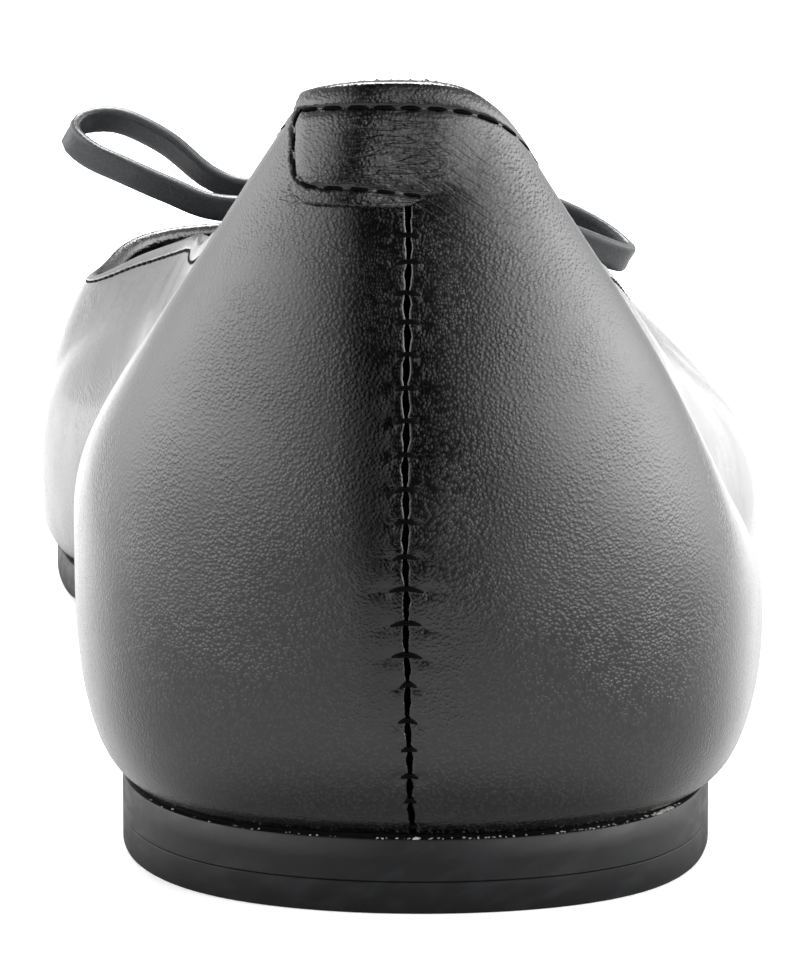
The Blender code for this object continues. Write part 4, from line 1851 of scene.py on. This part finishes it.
class Layer:
    """One flat layer under the foot, made of sections across the shoe."""

    def __init__(self, last: Last, name: str, profile: Sequence[tuple[float, float]]) -> None:
        """Keeps the layer's name and the profile of its edge, from below to above.

        Args:
            last: The shoe's last.
            name: The piece's name.
            profile: Pairs of margin outside the feather line and height over the underside.
        """
        self.last = last
        self.name = name
        self.profile = np.array(profile)

    def sections(self, stations: Array, flat_below: bool) -> Array:
        """Rings of points round each section, one for each station from the heel.

        Args:
            stations: Shares of the way from the heel, 0, to the toe, 1.
            flat_below: Whether its heights count from the floor.

        Returns:
            The rings, by station, point and axis.
        """
        margins, heights = self.profile[:, 0], self.profile[:, 1]
        rings = []
        across = np.linspace(0.0, 1.0, 15)[1:-1]
        for station in stations:
            lateral = self.last.edge(np.full(len(margins), station / 2), margins, 0.0)
            medial = self.last.edge(np.full(len(margins), 1.0 - station / 2), margins, 0.0)
            for side in (lateral, medial):
                side[:, 2] = (0.0 if flat_below else side[:, 2]) + heights
            over = lateral[-1] + (medial[-1] - lateral[-1]) * across[:, None]
            under = medial[0] + (lateral[0] - medial[0]) * across[:, None]
            rings.append(np.concatenate([lateral, over, medial[::-1], under, lateral[:1]]))
        return np.array(rings)

    def build(
        self, stations: Array, flat_below: bool, material: bpy.types.Material, slot: Slot,
        replaces: Sequence[str],
    ) -> Piece:
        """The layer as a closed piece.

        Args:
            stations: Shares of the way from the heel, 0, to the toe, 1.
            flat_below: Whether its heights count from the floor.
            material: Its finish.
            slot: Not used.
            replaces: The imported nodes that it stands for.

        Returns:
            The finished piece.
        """
        piece = grid_sheet(self.name, self.sections(stations, flat_below))
        weld(piece, 2e-6)
        close_ends(piece)
        smooth(piece, 32.0)
        return finish_piece(piece, material, replaces)


class Sole:
    """Outsole, heel lift and footbed, with what shows in the gap above them."""

    def __init__(self, last: Last) -> None:
        """Keeps the last."""
        self.last = last

    def build(self, finishes: Finishes) -> list[Piece]:
        """All the layers, from below.

        Args:
            finishes: The shoe's materials.

        Returns:
            The finished pieces.
        """
        size = self.last.sizes
        margin, thick = size.sole_margin, size.outsole
        stations = np.linspace(0.0, 1.0, 201)
        outsole = Layer(self.last, "outsole_rubber", (
            (margin - 0.0012, 0.0), (margin - 0.0002, 0.0), (margin - 0.00006, 0.00003),
            (margin, 0.00010), (margin, thick * 0.5), (margin, thick - 0.0002),
            (margin - 0.0001, thick - 0.00004), (margin - 0.0003, thick), (-0.0014, thick),
        )).build(stations, False, finishes.rubber, Slot.RUBBER, ["outsole"])
        full = size.lift + size.gap
        lift = Layer(self.last, "heel_lift_rubber", (
            (margin - 0.0010, 0.0), (margin - 0.0003, 0.0), (margin - 0.00008, 0.00008),
            (margin, 0.0003), (margin, full - 0.00010), (margin - 0.00006, full - 0.00003),
            (margin - 0.0012, full - 0.00003),
        )).build(self.lift_stations(), True, finishes.rubber, Slot.RUBBER, ["heel_lift"])
        low = thick + size.gap
        inset = -size.wall - 0.0001
        footbed = Layer(self.last, "footbed", (
            (inset - 0.0006, low), (inset, low + 0.0004), (inset, low + size.insole * 0.7),
            (inset - 0.0002, low + size.insole * 0.93), (inset - 0.0009, low + size.insole),
        )).build(stations, False, finishes.footbed, Slot.FOOTBED, ["insole"])
        return [outsole, lift, footbed, self.shadow(finishes), self.glue(finishes)]

    def lift_stations(self) -> Array:
        """Stations from the heel to the lift's straight breast.

        Returns:
            Shares of the way from the heel to the toe.
        """
        turns = np.linspace(0.0, 0.5, 1201)
        line, _ = self.last.foot(turns)
        behind = turns[line[:, 1] - self.last.shift[1] < self.last.sizes.lift_length]
        return np.linspace(0.0, behind[-1] * 2, 61)

    def shadow(self, finishes: Finishes) -> Piece:
        """A near-black band in the gap between upper and outsole: painted shade.

        Args:
            finishes: The shoe's materials.

        Returns:
            The finished piece.
        """
        around = np.linspace(0.0, 1.0, 301)
        rows = []
        size = self.last.sizes
        for margin, height in (
            (-0.0006, size.outsole - 0.0001), (-0.0001, size.outsole + 0.00003),
            (-0.00015, size.outsole + 0.0003), (-0.0010, size.outsole + 0.0007),
        ):
            rows.append(self.last.edge(around, np.full(len(around), margin), height))
        # Painted shade: a near-black band in the gap above the sole.
        gap_shade = grid_sheet("feather_shadow", np.array(rows))
        weld(gap_shade)
        return finish_piece(gap_shade, finishes.gap)

    def glue(self, finishes: Finishes) -> Piece:
        """Crumbs of dried glue and fluff in the gap, most of them behind.

        Args:
            finishes: The shoe's materials.

        Returns:
            The finished piece.
        """
        chance = np.random.default_rng(11)
        quiet()
        bpy.ops.mesh.primitive_ico_sphere_add(subdivisions=1, radius=1.0)
        model = bpy.context.object
        shape = points_of(model)
        copies = []
        behind, about, smear = 70, 26, 44
        places = np.concatenate([
            chance.normal(0.014, 0.022, behind), chance.uniform(-0.09, 0.09, about),
            chance.normal(0.0435, 0.0026, smear), [0.0005, 0.0008, 0.0002],
        ])
        sizes = np.concatenate([
            chance.uniform(0.03, 0.085, behind + about) * MM,
            chance.uniform(0.06, 0.13, smear) * MM, [0.16 * MM, 0.12 * MM, 0.1 * MM],
        ])
        for place, size in zip(places, sizes):
            margin = chance.uniform(0.00005, 0.0005)
            centre = self.last.edge(
                np.array([place]), np.array([margin]), self.last.sizes.outsole + size * 0.5
            )[0]
            rough = shape * chance.uniform(0.6, 1.5, (len(shape), 1)) * np.array([1.5, 1.0, 0.8])
            copies.append(copy_of(model, centre + rough * size))
        bpy.data.objects.remove(model)
        crumbs = join("glue_crumbs", copies)
        return finish_piece(crumbs, finishes.glue)


# ---- the bow


class LoopSide(Enum):
    """The bow's two loops: route in shares of the reach, reach, and the way the width points."""

    MEDIAL = (
        (
            (-0.130, -0.045, -0.012), (-0.310, -0.060, -0.022), (-0.540, -0.070, -0.016),
            (-0.690, -0.075, 0.040), (-0.830, -0.075, 0.102), (-0.940, -0.060, 0.152),
            (-0.998, -0.018, 0.205), (-0.955, 0.025, 0.243), (-0.845, 0.040, 0.245),
            (-0.700, 0.040, 0.175), (-0.560, 0.035, 0.064), (-0.420, 0.030, 0.026),
            (-0.130, 0.018, 0.032),
        ),
        0.0362, ((0.22, -0.45, 0.87), (0.45, -0.40, 0.80), (0.22, -0.68, 0.69)),
    )
    LATERAL = (
        (
            (0.170, -0.050, 0.010), (0.380, -0.110, -0.022), (0.600, -0.145, -0.084),
            (0.820, -0.130, -0.172), (0.970, -0.045, -0.238), (0.985, 0.070, -0.238),
            (0.860, 0.160, -0.150), (0.640, 0.170, -0.050), (0.380, 0.110, 0.015),
            (0.170, 0.050, 0.025),
        ),
        0.0274, ((0.30, 0.06, 0.95), (0.50, -0.10, 0.86), (0.42, -0.30, 0.86)),
    )


def smooth_line(points: Array, count: int) -> Array:
    """Smooth line through points, at even steps of its length.

    Args:
        points: Places that it passes through.
        count: Points wanted.

    Returns:
        The line's points.
    """
    points = np.asarray(points, float)
    ring = np.vstack([2 * points[0] - points[1], points, 2 * points[-1] - points[-2]])
    share = np.linspace(0.0, 1.0, 24, endpoint=False)[:, None]
    parts = []
    for index in range(1, len(ring) - 2):
        a, b, c, d = ring[index - 1:index + 3]
        parts.append(0.5 * (2 * b + (c - a) * share + (2 * a - 5 * b + 4 * c - d) * share**2
                            + (3 * b - a - 3 * c + d) * share**3))
    line = np.vstack([*parts, points[-1:]])
    run = run_of(line)
    even = np.linspace(0.0, run[-1], count)
    return read_line(line, run, even)


@dataclass
class Bow:
    """Bow of flat folded lace at the front of the throat."""

    last: Last
    lace_width: float = 0.0034
    lace_thickness: float = 0.0013
    knot_width: float = 0.0082
    knot_length: float = 0.0062
    knot_height: float = 0.0045
    setback: float = 0.0036
    end_reach: float = 0.0330
    end_spread: float = 0.0095
    loop_points: int = 72
    end_points: int = 48
    end_stops: int = 12

    def outline(self) -> Array:
        """Cross-section of the lace: rounded edges and a pressed middle.

        Returns:
            Points round it, as shares of half the width and half the thickness.
        """
        turns = np.linspace(0.0, 2 * math.pi, 25)
        across = np.sign(np.cos(turns)) * np.abs(np.cos(turns)) ** 0.55
        through = np.sign(np.sin(turns)) * np.abs(np.sin(turns)) ** 0.62
        through *= 1.0 - 0.22 * bell(across - 0.15, 0.28)
        return np.stack([across, through], axis=1)

    def lace(
        self, name: str, route: Array, widths: Array, material: bpy.types.Material, node: str,
    ) -> Piece:
        """A length of flat lace along a route.

        Args:
            name: The piece's name.
            route: Points down its middle.
            widths: Which way its width points, at each point.
            material: Its finish.
            node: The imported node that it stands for.

        Returns:
            The finished piece.
        """
        ahead = unit(np.gradient(route, axis=0))
        widths = unit(widths - np.sum(widths * ahead, axis=1)[:, None] * ahead)
        flats = np.cross(ahead, widths)
        outline = self.outline()
        rings = []
        for point, width, flat in zip(route, widths, flats):
            rings.append(
                point + width * (outline[:, :1] * self.lace_width / 2)
                + flat * (outline[:, 1:] * self.lace_thickness / 2)
            )
        piece = grid_sheet(name, np.array(rings))
        weld(piece)
        close_ends(piece)
        smooth(piece, 50.0)
        return finish_piece(piece, material, [node])

    def build(self, finishes: Finishes) -> list[Piece]:
        """Knot, loops and ends.

        Args:
            finishes: The shoe's materials.

        Returns:
            The finished pieces.
        """
        last = self.last
        shares = np.linspace(0.4, 0.6, 401)
        front = last.surface(shares, np.ones(len(shares)))
        middle = float(shares[np.argmax(front[:, 1])])
        ups = np.linspace(1.0, 0.4, 400)
        run = run_of(last.surface(np.full(len(ups), middle), ups))
        place = (np.array(middle), np.array(float(np.interp(self.setback, run, ups))))
        rise = self.knot_height / 2 + 2 * last.sizes.gap
        centre = last.surface(*place) + last.normal(*place) * rise
        knot = self.knot(centre, finishes.lace)
        pieces = [knot]
        for side in LoopSide:
            node = "bow_loop_" + side.name.lower()
            route, widths = self.loop_route(side, centre)
            loop = self.lace("lace_" + node[4:], route, widths, finishes.lace, node)
            pieces.append(loop)
        for node, hand in (("bow_end_medial", 1.0), ("bow_end_lateral", -1.0)):
            route, widths = self.end_route(middle, hand, ups, run)
            end = self.lace("lace_" + node[4:], route, widths, finishes.lace, node)
            pieces.append(end)
        return pieces

    def loop_route(self, side: LoopSide, centre: Array) -> tuple[Array, Array]:
        """Route of one loop out of the knot and back, and the way its width points.

        Args:
            side: Which loop.
            centre: Middle of the knot.

        Returns:
            The route's points, and a direction at each.
        """
        table, reach, width = side.value
        route = smooth_line(centre + np.array(table) * reach, self.loop_points)
        turn = np.array(width)
        share = ease(np.linspace(0.0, 1.0, self.loop_points))[:, None] * 2.0
        early = turn[0] + (turn[1] - turn[0]) * np.clip(share, 0.0, 1.0)
        return route, early + (turn[2] - turn[1]) * np.clip(share - 1.0, 0.0, 1.0)

    def end_route(
        self, middle: float, hand: float, ups: Array, run: Array
    ) -> tuple[Array, Array]:
        """Route of one lace end down the vamp, and the way its width points.

        Args:
            middle: Place of the throat's middle round the shoe.
            hand: 1 for the medial end, -1 for the lateral one.
            ups: Shares of the way up the wall, from the topline down.
            run: Distance from the topline at each of them.

        Returns:
            The route's points, and a direction at each.
        """
        last = self.last
        start = self.setback + self.knot_length / 2 + 2 * last.sizes.gap
        runs = np.linspace(start, start + self.end_reach, self.end_stops)
        shares = np.linspace(0.0, 1.0, self.end_stops)
        heights = np.interp(runs, run, ups)
        first = self.knot_width / 4
        spread = first + (self.end_spread - first) * shares**1.3
        turns = []
        sweep = np.linspace(0.0, 0.12, 60)
        for up, out in zip(heights, spread):
            line = last.surface(middle + sweep, np.full(len(sweep), up))
            turns.append(middle + hand * float(np.interp(out, run_of(line), sweep)))
        turns = np.array(turns)
        normals = last.normal(turns, heights)
        lift = self.lace_thickness / 2 + 2 * last.sizes.gap
        route = smooth_line(last.surface(turns, heights) + normals * lift, self.end_points)
        normals = read_line(normals, shares, np.linspace(0.0, 1.0, self.end_points))
        return route, np.cross(normals, np.gradient(route, axis=0))

    def knot(self, centre: Array, material: bpy.types.Material) -> Piece:
        """The knot: a band of lace wrapped once round the crossing.

        Args:
            centre: Middle of the knot.
            material: Its finish.

        Returns:
            The finished piece.
        """
        quiet()
        bpy.ops.mesh.primitive_cube_add(size=1.0)
        piece = bpy.context.object
        piece.name = "lace_knot"
        edit_all()
        size = (self.knot_width, self.knot_length, self.knot_height)
        bpy.ops.transform.resize(value=size)
        bpy.ops.mesh.subdivide(number_cuts=5)
        bpy.ops.object.mode_set(mode="OBJECT")
        points = points_of(piece)
        share = points / (np.array(size) / 2)
        round_off = 1.0 / np.maximum(np.linalg.norm(share, ord=4, axis=1), 1e-6)
        share *= np.minimum(round_off, 1.0)[:, None]
        band = bell(share[:, 0], 0.42)
        share[:, 1:] *= (0.84 + 0.16 * band)[:, None]
        share[:, 2] -= 0.05 * bell(share[:, 0] - 0.1, 0.12) * (share[:, 2] > 0)
        lay(piece, centre + share * np.array(size) / 2)
        modifier = piece.modifiers.new("round", "SUBSURF")
        modifier.levels = 2
        modifier.render_levels = 2
        pick(piece)
        bpy.ops.object.modifier_apply(modifier=modifier.name)
        smooth(piece, 60.0)
        return finish_piece(piece, material, ["bow_knot"])


# ---- studio


@dataclass(frozen=True)
class SoftLight:
    """A large soft light: place, size, power, and the point it faces."""

    name: str
    place: Triple
    width: float
    height: float
    watts: float
    target: Triple
    spread: float = 70.0

    def make(self) -> None:
        """Adds the light, unseen by the camera."""
        data = bpy.data.lights.new(self.name, "AREA")
        data.shape = "RECTANGLE"
        data.size, data.size_y = self.width, self.height
        data.energy = self.watts
        data.spread = math.radians(self.spread)
        lamp = bpy.data.objects.new(self.name, data)
        bpy.context.collection.objects.link(lamp)
        lamp.location = self.place
        aim = Vector(self.target) - Vector(self.place)
        lamp.rotation_euler = aim.to_track_quat("-Z", "Y").to_euler()
        lamp.visible_camera = False


@dataclass
class Studio:
    """Camera, floor, surroundings and light.

    The walls are dark straight behind the shoe and brighter to both sides: left and right are
    how bright, and the powers how fast they rise from dark_centre outwards. The floor is lighter
    to the camera (seen, glow) than it is in the leather (tone).
    """

    left: float = 7.4
    right: float = 11.8
    left_power: float = 1.1
    right_power: float = 0.86
    far_power: float = 2.6
    dark_centre: float = 0.02
    dark_width: float = 0.055
    dark_low: float = 0.08
    dark_high: float = 0.28
    front_wall: float = 1.1
    least: float = 0.01
    backdrop: float = 1.05
    floor_tone: float = 0.40
    floor_seen: float = 0.95
    floor_glow: float = 0.28
    floor_width: float = 0.34
    floor_length: float = 1.62
    floor_middle: float = 0.45
    eye: Triple = (0.00207, -0.5706, 0.117)
    look_down: float = 10.12
    lens: float = 202.0
    shift: float = -13.0 / 978.0

    def camera(self) -> None:
        """The camera at the photograph's place and angle."""
        data = bpy.data.cameras.new("photo_camera")
        data.lens = self.lens
        data.sensor_width = 36.0
        data.clip_start = 0.01
        data.shift_x = self.shift
        camera = bpy.data.objects.new("photo_camera", data)
        bpy.context.collection.objects.link(camera)
        camera.location = self.eye
        camera.rotation_euler = (math.radians(90.0 - self.look_down), 0.0, 0.0)
        bpy.context.scene.camera = camera

    def floor(self) -> None:
        """A plain white floor."""
        quiet()
        middle = (0.0, self.floor_middle, 0.0)
        bpy.ops.mesh.primitive_plane_add(size=1.0, location=middle)
        floor = bpy.context.object
        floor.name = "floor"
        edit_all()
        bpy.ops.transform.resize(
            value=(self.floor_width, self.floor_length, 1.0), center_override=middle
        )
        bpy.ops.object.mode_set(mode="OBJECT")
        bpy.ops.object.transform_apply(location=True)
        look = Look("white_floor")
        seen = look.add("LightPath").outputs["Is Camera Ray"]
        floor.data.materials.append(look.dress(
            Base_Color=look.span(seen, 0.0, 1.0, self.floor_tone, self.floor_seen),
            Emission_Color=(1.0, 1.0, 1.0, 1.0),
            Emission_Strength=look.span(seen, 0.0, 1.0, 0.0, self.floor_glow),
            Roughness=0.9,
            Specular_IOR_Level=0.1,
        ))

    def surroundings(self) -> None:
        """White walls, darker on the side that the shoe is seen from."""
        world = bpy.data.worlds.new("studio")
        bpy.context.scene.world = world
        world.use_nodes = True
        graph = Graph(world.node_tree)
        graph.tree.nodes.clear()
        way = graph.add("TexCoord").outputs["Generated"]
        split = graph.add("SeparateXYZ", Vector=way)
        x, y, z = (split.outputs[axis] for axis in "XYZ")
        off = graph.math("ABSOLUTE", graph.math("SUBTRACT", x, self.dark_centre))
        off = graph.math("MAXIMUM", graph.math("SUBTRACT", off, self.dark_width), 0.0)
        near_power = graph.span(x, -0.1, 0.1, self.left_power, self.right_power)
        far_power = graph.span(y, -0.2, 0.5, 0.0, self.far_power)
        side = graph.math("POWER", off, graph.math("ADD", near_power, far_power))
        side = graph.times(side, graph.span(x, -1.0, 1.0, self.left, self.right, False))
        low = graph.span(z, -0.34, 0.28, self.dark_low, 1.0)
        high = graph.span(z, 0.40, 0.64, 1.0, self.dark_high)
        side = graph.times(side, graph.times(low, high))
        total = graph.math("ADD", side, graph.span(y, 0.0, 0.7, 0.0, self.front_wall))
        walls = graph.add("Background", Strength=graph.math("ADD", total, self.least))
        plain = graph.add("Background", Strength=self.backdrop)
        mix = graph.add("MixShader")
        graph.put(mix.inputs[0], graph.add("LightPath").outputs["Is Camera Ray"])
        graph.put(mix.inputs[1], walls.outputs[0])
        graph.put(mix.inputs[2], plain.outputs[0])
        end = graph.add("OutputWorld")
        graph.put(end.inputs["Surface"], mix.outputs[0])

    def build(self) -> None:
        """Sets up everything round the shoe."""
        scene = bpy.context.scene
        scene.view_settings.view_transform = "Standard"
        scene.view_settings.look = "None"
        self.camera()
        self.floor()
        self.surroundings()
        SoftLight("soft_top", (0.0, 0.32, 0.80), 0.7, 0.5, 6.5, (0.0, 0.22, 0.0)).make()


def main() -> None:
    """Builds the shoe's looks piece by piece and sets up the studio."""
    Studio().build()
    last = Last(SIZES)
    finishes = Finishes()
    stitching = Stitching()
    Bow(last).build(finishes)
    upper = Upper(last, BackSeam(), stitching)
    upper.build(finishes)
    CrossStitches(upper).build(finishes)
    HeelTab(last, stitching).build(finishes)
    Sole(last).build(finishes)
    quiet()


if __name__ == "__main__":
    main()
